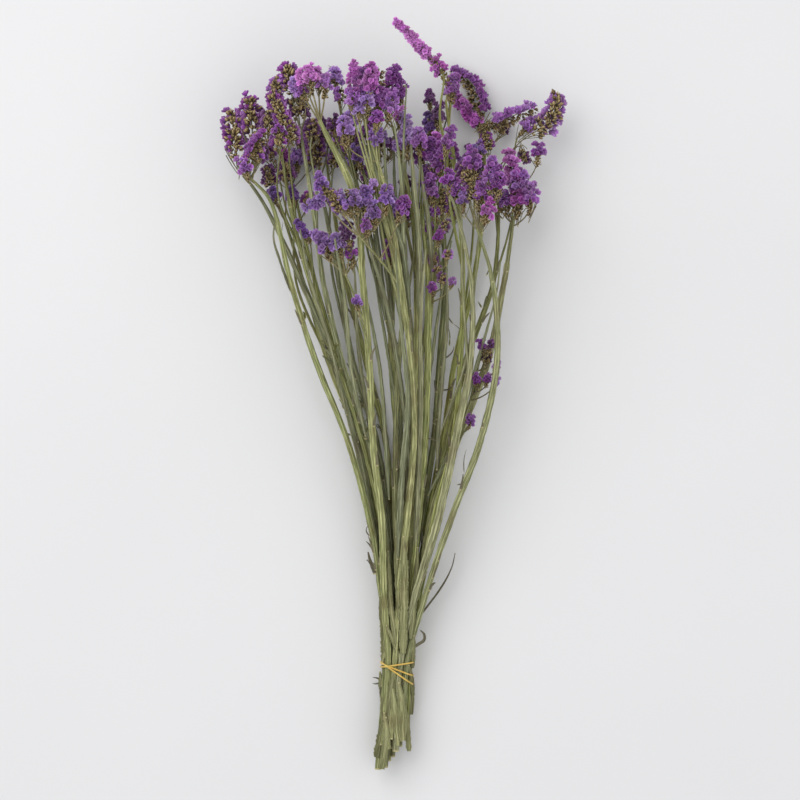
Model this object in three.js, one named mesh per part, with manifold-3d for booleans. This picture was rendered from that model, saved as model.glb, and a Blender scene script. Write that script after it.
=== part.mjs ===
// A dried bunch of sea lavender (statice), tied with a rubber band and laid down on a surface.
// Millimetres. +Y runs along the stems towards the flowers, +Z is up and the surface is z = 0.
// The origin is at the middle of the bunch's footprint, on that surface.
//
// The stems pack into five layers under the band. Above it the layers fan apart, and a stem keeps
// its place in its layer all the way, so stems cross when seen from above and never touch.
// Each stem is one piece. Each panicle, with its stalk, branchlets and flower spikes, is another,
// and it is seated just off the stem that carries it.

import * as THREE from "three";
import { mergeVertices } from "three/addons/utils/BufferGeometryUtils.js";
import Module from "manifold-3d";

// Where the bunch is tied and cut
const TIE_Y = -217;
const LOWEST_CUT_Y = -301;
const CUT_DRIFT = -5; // sideways lean of the stems below the band
const CUT_SPREAD = 1.08; // how far they open below the band

// Heights of the five layers, lowest layer first
const TIE_Z = 4.1;
const TIE_STEP = 4.8;
const CUT_Z = 2.5;
const CUT_STEP = 4.85;
const HEAD_Y = 150;
const HEAD_Z = 9;
const HEAD_STEP = 19.5;
const FAN_POWER = 1.25; // the fan opens slowly at first

// Slots across the bundle at the band, for a row of four stems and a row of five
const SLOT_STEP = 4.9;
const BUNDLE_X = 1.6;

// Stem sections are six-sided and a little flat: [share of length, radius]
const STEM_SIDES = 6;
const STEM_RADII = [
  [0, 2.5],
  [0.15, 2.5],
  [0.38, 3.2],
  [0.62, 2.9],
  [1, 1.3],
];
const STEM_FLAT = 0.84;
const ACROSS_FLATS = 0.87; // half the width of a six-sided section, as a share of its radius
const CLEARANCE = 0.45; // between pieces that touch

// Panicles
const STALK_LENGTH = 38; // from the end of the stem to the hub of its panicle
const STALK_FOOT_R = 1.3;
const STALK_R = 1.0;
const BRANCHLET_R = 0.7;
const BRANCHLET_TIP_R = 0.6;
const TRUNK_SIDES = 4;
const BRANCHLET_SIDES = 3;
const BRANCHLET_STEPS = 2;
const SPIKE_SIDES = 6;
const FLORET_SIDES = 4;
const FLORET_LARGEST_R = 4; // a spike up to this radius is a single floret
const SPIKE_LIFTS = [0, 3, -3, 2, -2]; // spikes of one panicle stand at different heights
const SPIKE_OUTLINE = [
  [0, 0.55],
  [0.5, 1],
  [1, 0.45],
];
const BOWED_OUTLINE = [
  [0, 0.5],
  [0.25, 0.9],
  [0.5, 1],
  [0.75, 0.85],
  [1, 0.4],
];
const FLORET_OUTLINE = [
  [0, 0.5],
  [0.6, 1],
  [1, 0.5],
];

// Rubber band
const BAND_R = 0.7;
const BAND_CLEARANCE = 0.6;
const BAND_STEPS = 44;
const BAND_SIDES = 4;

// x of each stem is given where it passes these heights, then its tip as x, y
const STATIONS_Y = [-163, -99, -35, 29, 93, 157];

// A stem has a ring of vertices at each of these heights, closest where the band bends it
const RINGS_Y = [-235, -217, -200, -163, -131, -99, -67, -35, 29, 93, 157, 190];
const LEAST_RING_GAP = 8;

// layer counts from the surface up, slot from the left. cut is the y of the cut end.
// drift moves the stem inside its own layer, from -1, low, to 1, high.
const STEMS = [
  { layer: 0, slot: 0, cut: -279, drift: 0.1, x: [-7, -12, -25, -46, -65, -80], tip: [-84, 172] },
  { layer: 0, slot: 1, cut: -295, drift: 0.6, x: [1, -3, -8, -24, -40, -51], tip: [-56, 190] },
  { layer: 0, slot: 2, cut: -275, drift: -0.1, x: [8, 12, 20, 20, 21], tip: [32, 134] },
  { layer: 0, slot: 3, cut: -263, drift: 0.5, x: [16, 26, 38, 48, 63, 71], tip: [72, 206] },
  { layer: 1, slot: 0, cut: -287, drift: 0.3, x: [-10, -16, -30, -54, -74], tip: [-89, 142] },
  { layer: 1, slot: 1, cut: -300, drift: -0.6, x: [-3, -6, -16, -35, -46, -58], tip: [-62, 176] },
  { layer: 1, slot: 2, cut: -279, drift: 0.6, x: [4, 5, 2, -3, -3, -8], tip: [-14, 192] },
  { layer: 1, slot: 3, cut: -283, drift: -0.5, x: [10, 21, 31, 36, 40, 37], tip: [32, 200] },
  { layer: 1, slot: 4, cut: -255, drift: 0.4, x: [17, 29, 42, 57, 79, 83], tip: [82, 184] },
  { layer: 2, slot: 0, cut: -295, drift: -0.6, x: [-10, -19, -32, -50, -76, -107], tip: [-119, 174] },
  { layer: 2, slot: 1, cut: -283, drift: 0.7, x: [-3, -9, -22, -43, -58, -67], tip: [-76, 214] },
  { layer: 2, slot: 2, cut: -291, drift: -0.4, x: [4, 2, 4, 0, -14, -19], tip: [-35, 203] },
  { layer: 2, slot: 3, cut: -273, drift: 0.5, x: [11, 13, 16, 17, 17, 12], tip: [-2, 216] },
  { layer: 2, slot: 4, cut: -267, drift: -0.3, x: [18, 28, 50, 74, 87], tip: [95, 144] },
  { layer: 3, slot: 0, cut: -301, drift: 0.6, x: [-11, -21, -39, -64, -84, -100], tip: [-115, 173] },
  { layer: 3, slot: 1, cut: -299, drift: -0.5, x: [-4, -12, -27, -47, -69, -85], tip: [-91, 195] },
  { layer: 3, slot: 2, cut: -284, drift: 0.3, x: [4, 0, 0, 3, 8, 6], tip: [8, 187] },
  { layer: 3, slot: 3, cut: -278, drift: -0.6, x: [12, 18, 24, 26, 26, 23], tip: [34, 176] },
  { layer: 3, slot: 4, cut: -271, drift: 0.6, x: [19, 31, 46, 52, 54, 50], tip: [40, 236] },
  { layer: 4, slot: 0, cut: -281, drift: 0, x: [-9, -11, -18, -21, -26, -32], tip: [-60, 219] },
  { layer: 4, slot: 1, cut: -276, drift: 0.3, x: [3, 9, 15, 12, 4, -6], tip: [-24, 216] },
  { layer: 4, slot: 2, cut: -286, drift: -0.4, x: [15, 34, 48, 60, 60, 45], tip: [43, 160] },
  { layer: 4, slot: 3, cut: -257, drift: 0.2, x: [23, 44, 68, 81, 77], tip: [65, 133] },
];

// One panicle at the tip of each stem, in the order of STEMS. A spike is its foot, tip and radius, and
// a bowed one has the height of its bow to the right of the line from foot to tip.
const TIP_PANICLES = [
  [[-80, 184, -80, 200, 5.5], [-88, 188, -90, 199, 4.5], [-76, 198, -72, 214, 6], [-99, 189, -107, 204, 6],
    [-88, 174, -90, 182, 5], [-70, 185, -65, 197, 5]],
  [[-50, 205, -44, 220, 6.5], [-58, 204, -60, 219, 6], [-41, 196, -31, 211, 6]],
  [[28, 160, 25, 181, 6.5], [48, 147, 48, 161, 5.5], [37, 152, 38, 168, 5.5], [15, 147, 12, 160, 5]],
  [[68, 223, 48, 263, 5.5, 11], [64, 220, 44, 246, 5], [56, 204, 52, 216, 5.5], [84, 212, 90, 224, 5]],
  [[-95, 156, -100, 168, 5.5], [-82, 154, -83, 168, 5.5], [-72, 152, -70, 164, 4.5]],
  [[-62, 184, -67, 218, 9.5], [-56, 211, -60, 224, 5.5], [-50, 184, -48, 196, 5]],
  [[-12, 200, -13, 214, 7], [-20, 207, -21, 219, 5], [-4, 197, 0, 208, 5], [-18, 220, -18, 230, 4.5]],
  [[29, 237, 28, 251, 5], [34, 218, 35, 235, 6.5], [24, 209, 23, 231, 5], [44, 240, 45, 256, 4.5]],
  [[72, 216, 114, 234, 5.5], [112, 208, 132, 244, 8.5, 6], [101, 205, 106, 221, 5], [114, 188, 115, 201, 6.5],
    [75, 196, 72, 214, 5.5], [102, 199, 104, 188, 4.2]],
  [[-127, 188, -132, 229, 9], [-115, 203, -118, 241, 10], [-110, 188, -106, 200, 5]],
  [[-83, 241, -87, 267, 8], [-74, 238, -83, 253, 6], [-77, 221, -79, 239, 9]],
  [[-35, 212, -37, 227, 7.5], [-44, 236, -45, 247, 5.5], [-47, 246, -48, 264, 7], [-49, 212, -52, 223, 6],
    [-45, 200, -48, 209, 5]],
  [[-2, 234, 0, 268, 8], [3, 219, 3, 231, 5], [-13, 231, -14, 245, 5]],
  [[96, 153, 93, 197, 8], [106, 153, 109, 173, 7], [86, 151, 81, 172, 7]],
  [[-121, 190, -103, 222, 5.5, -3], [-121, 179, -126, 191, 6.5]],
  [[-85, 209, -99, 242, 6.5], [-93, 209, -94, 215, 4], [-102, 207, -102, 227, 6.5]],
  [[10, 196, 8, 223, 7], [19, 197, 17, 221, 5.5]],
  [[30, 184, 27, 203, 6.5], [41, 184, 42, 204, 7], [35, 187, 34, 211, 6], [52, 179, 53, 190, 5.5]],
  [[38, 243, 32, 268, 8], [34, 265, 0, 299, 5, 7]],
  [[-69, 246, -77, 264, 5.5], [-66, 245, -71, 269, 6], [-62, 246, -64, 266, 5.5], [-58, 245, -57, 259, 5.5]],
  [[-31, 237, -33, 269, 6.5], [-21, 237, -20, 268, 7], [-16, 238, -15, 263, 5], [-23, 226, -22, 240, 7.5]],
  [[43, 166, 43, 179, 6.5], [40, 197, 48, 220, 5]],
  [[63, 157, 62, 191, 7], [74, 165, 77, 189, 6.5], [56, 152, 53, 162, 5], [73, 144, 73, 157, 7],
    [68, 190, 66, 202, 5.5]],
];

// Panicles that leave a stem part of the way up. side is -1 where they leave to the left, leave is the
// y of the joint, hub the end of the stalk and lift its height above the stem
const SIDE_PANICLES = [
  { name: "front_spray", stem: 20, side: -1, leave: 93, lift: 11, hub: [-30, 128], spikes: [
    [-54, 163, -57, 178, 7], [-50, 162, -72, 151, 5, 4], [-35, 146, -43, 165, 6], [-24, 146, -24, 165, 7],
    [-17, 138, -18, 151, 6.5], [-23, 129, -24, 140, 4.5], [-17, 164, -17, 172, 3.5]] },
  { name: "low_front_spray", stem: 19, side: -1, leave: 60, lift: 1, hub: [-40, 98], spikes: [
    [-53, 112, -60, 129, 7], [-44, 114, -48, 127, 6], [-35, 107, -37, 119, 7.5], [-37, 120, -41, 140, 5.5],
    [-58, 122, -66, 132, 4.2]] },
  { name: "small_button_spray", stem: 19, side: -1, leave: 46, lift: 12, hub: [-28, 62], spikes: [
    [-30, 70, -32, 82, 5]] },
  { name: "indigo_spray", stem: 15, side: 1, leave: 86, lift: 9, hub: [-67, 116], spikes: [
    [-69, 124, -79, 141, 3.5]] },
  { name: "lavender_spray", stem: 16, side: -1, leave: 84, lift: 0, hub: [0, 130], spikes: [
    [0, 138, -6, 166, 5], [-4, 106, -6, 125, 3.8]] },
  { name: "dusky_spray", stem: 6, side: 1, leave: 96, lift: 0, hub: [9, 134], spikes: [
    [10, 140, 9, 156, 5.5], [8, 165, 8, 178, 5]] },
  { name: "violet_spray", stem: 6, side: -1, leave: 130, lift: 0, hub: [-22, 168], spikes: [
    [-32, 180, -36, 205, 6.5], [-23, 172, -24, 184, 5]] },
  { name: "sparse_spray", stem: 17, side: 1, leave: 30, lift: 0, hub: [35, 138], spikes: [
    [32, 144, 31, 151, 3.5], [34, 124, 36, 130, 3], [31, 109, 30, 115, 3], [41, 112, 42, 118, 3],
    [30, 97, 29, 103, 3], [37, 94, 38, 100, 3], [43, 88, 45, 94, 3], [31, 82, 29, 88, 3], [38, 134, 41, 140, 3],
    [29, 132, 27, 140, 3]] },
  { name: "low_right_spray", stem: 13, side: -1, leave: -10, lift: 7, hub: [70, 38], spikes: [
    [69, 40, 66, 46, 3], [72, 40, 74, 47, 3], [66, 32, 63, 37, 3], [64, 14, 62, 20, 3.2], [69, 18, 72, 25, 3.2]] },
  { name: "lone_floret", stem: 13, side: 1, leave: -36, lift: 8, hub: [58, -24], spikes: [
    [59, -22, 60, -15, 3.5]] },
];

// Withered leaves and a bare twig, as x, y along the piece and its height above the stem it grows on
const WISPS = [
  { name: "bare_twig", stem: 13, leave: -178, side: 1, r: 0.9, flat: 1, path: [
    [36, -155, 1], [45, -138, 2], [48, -126, 2]] },
  { name: "curled_leaf", stem: 22, leave: -202, side: 1, r: 1.3, flat: 0.5, path: [
    [19, -199, 1], [23, -196, 2], [23, -191, 4], [20, -188, 6]] },
  { name: "withered_leaf", stem: 14, leave: -143, side: -1, r: 1.5, flat: 0.5, path: [
    [-19, -136, 1], [-21, -130, 3], [-22, -125, 5]] },
];

const OLIVE = { color: 0x7d8052, roughness: 0.85, metalness: 0 };
const VIOLET = { color: 0x5e3a8c, roughness: 0.9, metalness: 0 };
const BAND_YELLOW = { color: 0xc9a14a, roughness: 0.45, metalness: 0 };

const wasm = await Module();
wasm.setup();

// A closed geometry as a solid that can be joined to others.
function solidOf(geometry) {
  geometry.deleteAttribute("normal");
  geometry.deleteAttribute("uv");
  const welded = mergeVertices(geometry, 1e-4);
  return new wasm.Manifold(
    new wasm.Mesh({
      numProp: 3,
      vertProperties: welded.attributes.position.array,
      triVerts: new Uint32Array(welded.index.array),
    }),
  );
}

function joined(solids) {
  return solids.reduce((whole, next) => whole.add(next));
}

// A solid as a named mesh in its colour.
function meshOf(name, body, look) {
  const { vertProperties, triVerts } = body.getMesh();
  const geometry = new THREE.BufferGeometry();
  geometry.setAttribute("position", new THREE.BufferAttribute(new Float32Array(vertProperties), 3));
  geometry.setIndex(new THREE.BufferAttribute(triVerts, 1));
  geometry.computeVertexNormals();
  const mesh = new THREE.Mesh(geometry, new THREE.MeshStandardMaterial(look));
  mesh.name = name;
  return mesh;
}

// A closed, turned form whose axis is bent along a curve. outline holds [share of length, radius].
// flat squashes the section towards a strip, and both ends are cut square.
function sweep(curve, outline, sides, flat = 1) {
  const profile = outline.map(([share, radius]) => new THREE.Vector2(radius, share));
  profile.unshift(new THREE.Vector2(0, outline[0][0]));
  profile.push(new THREE.Vector2(0, outline.at(-1)[0]));
  const geometry = new THREE.LatheGeometry(profile, sides);
  const position = geometry.attributes.position;
  const up = new THREE.Vector3(0, 0, 1);
  for (let i = 0; i < position.count; i++) {
    const share = THREE.MathUtils.clamp(position.getY(i), 0, 1);
    const along = curve.getTangentAt(share);
    const side = along.clone().cross(up).normalize();
    const rise = side.clone().cross(along);
    const point = curve.getPointAt(share);
    point.addScaledVector(side, position.getX(i));
    point.addScaledVector(rise, position.getZ(i) * flat);
    position.setXYZ(i, point.x, point.y, point.z);
  }
  return solidOf(geometry);
}

// Radii that run evenly from one value to the next along a sweep.
function taper(radii, steps) {
  return Array.from({ length: steps + 1 }, (_, i) => {
    const place = (i / steps) * (radii.length - 1);
    const from = Math.min(Math.floor(place), radii.length - 2);
    return [i / steps, THREE.MathUtils.lerp(radii[from], radii[from + 1], place - from)];
  });
}

// Height of a layer's middle at y, and the room between it and the next layer.
function layerAt(layer, y) {
  if (y < TIE_Y) {
    const share = (TIE_Y - y) / (TIE_Y - LOWEST_CUT_Y);
    const step = THREE.MathUtils.lerp(TIE_STEP, CUT_STEP, share);
    return { z: THREE.MathUtils.lerp(TIE_Z, CUT_Z, share) + layer * step, step };
  }
  const share = Math.min(1, (y - TIE_Y) / (HEAD_Y - TIE_Y)) ** FAN_POWER;
  const step = THREE.MathUtils.lerp(TIE_STEP, HEAD_STEP, share);
  return { z: THREE.MathUtils.lerp(TIE_Z, HEAD_Z, share) + layer * step, step };
}

function stemZ(stem, y) {
  const { z, step } = layerAt(stem.layer, y);
  return z + stem.drift * Math.max(0, (step - TIE_STEP) / 2);
}

// x of a stem where the band holds it.
function slotX(stem) {
  const row = STEMS.filter((other) => other.layer === stem.layer).length;
  return BUNDLE_X + (stem.slot - (row - 1) / 2) * SLOT_STEP;
}

function stemCurve(stem) {
  const held = slotX(stem);
  const hang = (TIE_Y - stem.cut) / (TIE_Y - LOWEST_CUT_Y);
  const places = [
    [held * THREE.MathUtils.lerp(1, CUT_SPREAD, hang) + CUT_DRIFT * hang, stem.cut],
    [held, TIE_Y],
    ...stem.x.map((x, i) => [x, STATIONS_Y[i]]),
    stem.tip,
  ];
  const points = places.map(([x, y]) => new THREE.Vector3(x, y, stemZ(stem, y)));
  return new THREE.CatmullRomCurve3(points, false, "centripetal");
}

// The point of a stem's curve at a height, found by halving.
function stemPointAt(curve, y) {
  let low = 0;
  let high = 1;
  for (let i = 0; i < 30; i++) {
    const middle = (low + high) / 2;
    if (curve.getPointAt(middle).y < y) low = middle;
    else high = middle;
  }
  return { point: curve.getPointAt(low), share: low };
}

function stemRadius(share) {
  const next = Math.max(1, STEM_RADII.findIndex(([limit]) => share <= limit));
  const [[from, radiusFrom], [to, radiusTo]] = [STEM_RADII[next - 1], STEM_RADII[next]];
  return THREE.MathUtils.mapLinear(share, from, to, radiusFrom, radiusTo);
}

// The stretch of a curve between two shares of its length.
class Stretch extends THREE.Curve {
  constructor(whole, from, to) {
    super();
    this.whole = whole;
    this.from = from;
    this.to = to;
  }

  getPoint(share) {
    return this.whole.getPointAt(THREE.MathUtils.lerp(this.from, this.to, share));
  }
}

// Shares of a stem's length, with its radius at each, from the cut end to the foot of the panicle.
function stemOutline(stem, curve, end) {
  const highest = curve.getPointAt(end).y - LEAST_RING_GAP;
  const heights = RINGS_Y.filter((y) => y > stem.cut + LEAST_RING_GAP && y < highest);
  const shares = [0, ...heights.map((y) => stemPointAt(curve, y).share), end];
  return shares.map((share) => [share / end, stemRadius(share)]);
}

// A flower spike from foot to tip at one height, bowed sideways where bow isn't 0.
function spikeSolid(foot, tip, radius, bow) {
  const axis = tip.clone().sub(foot).normalize();
  const middle = foot.clone().lerp(tip, 0.5);
  middle.x += 2 * bow * axis.y;
  middle.y -= 2 * bow * axis.x;
  const floret = radius <= FLORET_LARGEST_R;
  const outline = floret ? FLORET_OUTLINE : bow ? BOWED_OUTLINE : SPIKE_OUTLINE;
  return sweep(
    new THREE.QuadraticBezierCurve3(foot, middle, tip),
    outline.map(([share, r]) => [share, r * radius]),
    floret ? FLORET_SIDES : SPIKE_SIDES,
  );
}

// A stalk, and on it a branchlet and a flower spike for each entry. rest keeps spikes on the surface.
function panicle(stalk, spikes, rest) {
  const start = stalk.getPoint(0);
  const hub = stalk.getPoint(1);
  const steps = Math.max(2, Math.round(start.distanceTo(hub) / 16));
  const solids = [sweep(stalk, taper([STALK_FOOT_R, STALK_R], steps), TRUNK_SIDES)];
  spikes.forEach(([footX, footY, tipX, tipY, radius, bow = 0], i) => {
    const z = rest ? radius : hub.z + SPIKE_LIFTS[i % SPIKE_LIFTS.length];
    const foot = new THREE.Vector3(footX, footY, z);
    const tip = new THREE.Vector3(tipX, tipY, z);
    const axis = tip.clone().sub(foot);
    const leaveY = footY - 0.9 * Math.abs(footX - hub.x) - 4;
    const leave = THREE.MathUtils.clamp((leaveY - start.y) / (hub.y - start.y), 0.1, 0.97);
    const from = stalk.getPoint(leave);
    const reach = from.distanceTo(foot);
    const bend = foot.clone().addScaledVector(axis.clone().normalize(), -0.4 * reach);
    const into = foot.clone().addScaledVector(axis, 0.12);
    const branchlet = new THREE.QuadraticBezierCurve3(from, bend, into);
    solids.push(sweep(branchlet, taper([BRANCHLET_R, BRANCHLET_TIP_R], BRANCHLET_STEPS), BRANCHLET_SIDES));
    solids.push(spikeSolid(foot, tip, radius, bow));
  });
  return joined(solids);
}

// The place beside a stem, just off its skin, where something of radius r grows from it.
function besideStem(curve, y, side, r) {
  const { point, share } = stemPointAt(curve, y);
  point.x += side * (stemRadius(share) * ACROSS_FLATS + CLEARANCE + r);
  return point;
}

// One turn of the band: it hugs the outermost stems, and tilts along the bunch as it goes round.
function bandTurn(curves, middleY, tilt) {
  const points = [];
  for (let i = 0; i < BAND_STEPS; i++) {
    const angle = (i / BAND_STEPS) * 2 * Math.PI;
    const way = new THREE.Vector3(Math.cos(angle), 0, Math.sin(angle));
    const y = middleY + tilt * Math.cos(angle);
    const centres = curves.map((curve) => stemPointAt(curve, y).point);
    const furthest = centres.reduce((best, next) => (next.dot(way) > best.dot(way) ? next : best));
    furthest.y = y;
    points.push(furthest.addScaledVector(way, STEM_RADII[0][1] * STEM_FLAT + BAND_CLEARANCE + BAND_R));
  }
  const loop = new THREE.CatmullRomCurve3(points, true, "centripetal");
  return solidOf(new THREE.TubeGeometry(loop, BAND_STEPS, BAND_R, BAND_SIDES, true));
}

const bunch = new THREE.Group();
const curves = STEMS.map(stemCurve);

STEMS.forEach((stem, i) => {
  const number = String(i + 1).padStart(2, "0");
  const length = curves[i].getLength();
  const end = 1 - STALK_LENGTH / length;
  const body = sweep(new Stretch(curves[i], 0, end), stemOutline(stem, curves[i], end), STEM_SIDES, STEM_FLAT);
  bunch.add(meshOf(`stem_${number}`, body, OLIVE));
  const stalk = new Stretch(curves[i], end + CLEARANCE / length, 1);
  bunch.add(meshOf(`flower_head_${number}`, panicle(stalk, TIP_PANICLES[i], stem.layer === 0), VIOLET));
});

for (const { name, stem, side, leave, lift, hub, spikes } of SIDE_PANICLES) {
  const start = besideStem(curves[stem], leave, side, STALK_FOOT_R);
  const end = new THREE.Vector3(hub[0], hub[1], stemZ(STEMS[stem], hub[1]) + lift);
  const bow = start.clone().lerp(end, 0.45);
  bow.y += 0.05 * start.distanceTo(end);
  bunch.add(meshOf(name, panicle(new THREE.QuadraticBezierCurve3(start, bow, end), spikes, false), VIOLET));
}

for (const { name, stem, leave, side, r, flat, path } of WISPS) {
  const start = besideStem(curves[stem], leave, side, r);
  const points = path.map(([x, y, rise]) => new THREE.Vector3(x, y, start.z + rise));
  const curve = new THREE.CatmullRomCurve3([start, ...points], false, "centripetal");
  bunch.add(meshOf(name, sweep(curve, taper([r, r, 0.4 * r], 8), STEM_SIDES, flat), OLIVE));
}

const band = joined([
  bandTurn(curves, TIE_Y + 1, 2),
  bandTurn(curves, TIE_Y - 3, -5),
  bandTurn(curves, TIE_Y - 6, -9),
]);
bunch.add(meshOf("rubber_band", band, BAND_YELLOW));

export default bunch;
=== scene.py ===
"""A dried bunch of statice, or sea lavender, tied with a rubber band and laid on a pale table.

The frame holds the bunch's plain solids. This script puts a grown piece in the place of each one: ridged
stems, panicles with ruffled papery calyces and tan bracts, withered leaves and the rubber band.
Lengths in the tables are millimetres, and meshes are written in metres. +Y runs along the stems.
"""

from __future__ import annotations

import logging
import math
import random
from bisect import bisect_left
from dataclasses import dataclass, field
from enum import Enum

import bpy
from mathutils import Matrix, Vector


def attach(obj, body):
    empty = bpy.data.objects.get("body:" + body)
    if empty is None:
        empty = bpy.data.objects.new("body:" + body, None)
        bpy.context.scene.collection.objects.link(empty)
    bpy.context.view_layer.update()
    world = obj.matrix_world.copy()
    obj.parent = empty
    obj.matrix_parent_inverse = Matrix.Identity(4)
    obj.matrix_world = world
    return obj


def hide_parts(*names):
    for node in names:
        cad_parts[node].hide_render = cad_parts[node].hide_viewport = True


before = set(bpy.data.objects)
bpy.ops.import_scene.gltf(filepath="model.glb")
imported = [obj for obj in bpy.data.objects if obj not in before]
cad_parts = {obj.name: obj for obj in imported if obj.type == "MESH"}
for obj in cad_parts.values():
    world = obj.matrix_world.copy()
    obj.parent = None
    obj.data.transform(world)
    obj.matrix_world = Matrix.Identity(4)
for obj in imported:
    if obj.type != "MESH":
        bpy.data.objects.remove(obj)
LOG = logging.getLogger("statice_bunch")

MM = 0.001
UP = Vector((0.0, 0.0, 1.0))
Triple = tuple[float, float, float]
Pair = tuple[float, float]
Table = tuple[Pair, ...]
Socket = bpy.types.NodeSocket


def linear(red: int, green: int, blue: int) -> Triple:
    """Turn an sRGB colour into linear light.

    Args:
        red: Red, from 0 to 255.
        green: Green, from 0 to 255.
        blue: Blue, from 0 to 255.

    Returns:
        The three linear channels, from 0 to 1.
    """
    return tuple((channel / 255) ** 2.2 for channel in (red, green, blue))


def read(table: Table, share: float) -> float:
    """Read a value between the rows of a table.

    Args:
        table: Rows of a share and its value, in order.
        share: The share to read at.

    Returns:
        The value.
    """
    for (low, first), (high, last) in zip(table, table[1:]):
        if share <= high:
            return first + (share - low) / (high - low) * (last - first)
    return table[-1][1]


class Tint(Enum):
    """Colour of a spike's papery calyces."""

    PINK = linear(208, 132, 204)
    MAGENTA = linear(184, 104, 180)
    VIOLET = linear(164, 110, 180)
    LAVENDER = linear(172, 136, 196)
    IRIS = linear(144, 108, 170)
    PURPLE = linear(145, 82, 156)
    INDIGO = linear(124, 90, 154)
    PLUM = linear(112, 70, 116)


class Face(Enum):
    """Side to which a spike's calyces open, seen along it from foot to tip."""

    FRONT = "up"
    BACK = "down"
    LEFT = "left"
    RIGHT = "right"


PINK, MAGENTA, VIOLET, LAVENDER, IRIS, PURPLE, INDIGO, PLUM = Tint
FRONT, BACK, LEFT, RIGHT = Face


@dataclass(frozen=True)
class Spike:
    """A flower spike as it lies in the bunch.

    Attributes:
        x: Place of the foot.
        y: Place of the foot.
        tip_x: Place of the tip.
        tip_y: Place of the tip.
        girth: Half the spike's width.
        tint: Colour of its calyces.
        face: Side to which they open.
        bow: Height of its bow, to the right of the line from foot to tip.
    """

    x: float
    y: float
    tip_x: float
    tip_y: float
    girth: float
    tint: Tint = Tint.VIOLET
    face: Face = Face.FRONT
    bow: float = 0.0


def spikes(*rows: tuple) -> tuple[Spike, ...]:
    """Read the rows of a table as spikes."""
    return tuple(Spike(*row) for row in rows)


@dataclass(frozen=True)
class StemLine:
    """The way of one stem through the bunch.

    Attributes:
        layer: Its layer, counted from the table up.
        slot: Its place in the tie, counted from the left.
        cut: Height along the bunch of its cut end.
        drift: How far it moves up, to 1, or down, to -1, inside its layer.
        stations: Its x at each height in Layering.stations.
        tip: x and y of its tip.
        limbs: How likely each of its spikes has a long limb of its own.
        joint: Girth at the foot of its head.
    """

    layer: int
    slot: int
    cut: float
    drift: float
    stations: tuple[float, ...]
    tip: Pair
    limbs: float = 0.5
    joint: float = 1.9


STEMS = (
    StemLine(0, 0, -279, 0.1, (-7, -12, -25, -46, -65, -80), (-84, 172)),
    StemLine(0, 1, -295, 0.6, (1, -3, -8, -24, -40, -51), (-56, 190)),
    StemLine(0, 2, -275, -0.1, (8, 12, 20, 20, 21), (32, 134)),
    StemLine(0, 3, -263, 0.5, (16, 26, 38, 48, 63, 71), (72, 206)),
    StemLine(1, 0, -287, 0.3, (-10, -16, -30, -54, -74), (-89, 142)),
    StemLine(1, 1, -300, -0.6, (-3, -6, -16, -35, -46, -58), (-62, 176)),
    StemLine(1, 2, -279, 0.6, (4, 5, 2, -3, -3, -8), (-14, 192)),
    StemLine(1, 3, -283, -0.5, (10, 21, 31, 36, 40, 37), (32, 200)),
    StemLine(1, 4, -255, 0.4, (17, 29, 42, 57, 79, 83), (82, 184), 0.2),
    StemLine(2, 0, -295, -0.6, (-10, -19, -32, -50, -76, -107), (-119, 174), 0),
    StemLine(2, 1, -283, 0.7, (-3, -9, -22, -43, -58, -67), (-76, 214)),
    StemLine(2, 2, -291, -0.4, (4, 2, 4, 0, -14, -19), (-35, 203)),
    StemLine(2, 3, -273, 0.5, (11, 13, 16, 17, 17, 12), (-2, 216)),
    StemLine(2, 4, -267, -0.3, (18, 28, 50, 74, 87), (95, 144), 0, 2.4),
    StemLine(3, 0, -301, 0.6, (-11, -21, -39, -64, -84, -100), (-115, 173), 0),
    StemLine(3, 1, -299, -0.5, (-4, -12, -27, -47, -69, -85), (-91, 195)),
    StemLine(3, 2, -284, 0.3, (4, 0, 0, 3, 8, 6), (8, 187)),
    StemLine(3, 3, -278, -0.6, (12, 18, 24, 26, 26, 23), (34, 176)),
    StemLine(3, 4, -271, 0.6, (19, 31, 46, 52, 54, 50), (40, 236)),
    StemLine(4, 0, -281, 0, (-9, -11, -18, -21, -26, -32), (-60, 219), 0, 2.9),
    StemLine(4, 1, -276, 0.3, (3, 9, 15, 12, 4, -6), (-24, 216)),
    StemLine(4, 2, -286, -0.4, (15, 34, 48, 60, 60, 45), (43, 160)),
    StemLine(4, 3, -257, 0.2, (23, 44, 68, 81, 77), (65, 133), 0.2, 2.2),
)

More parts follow.
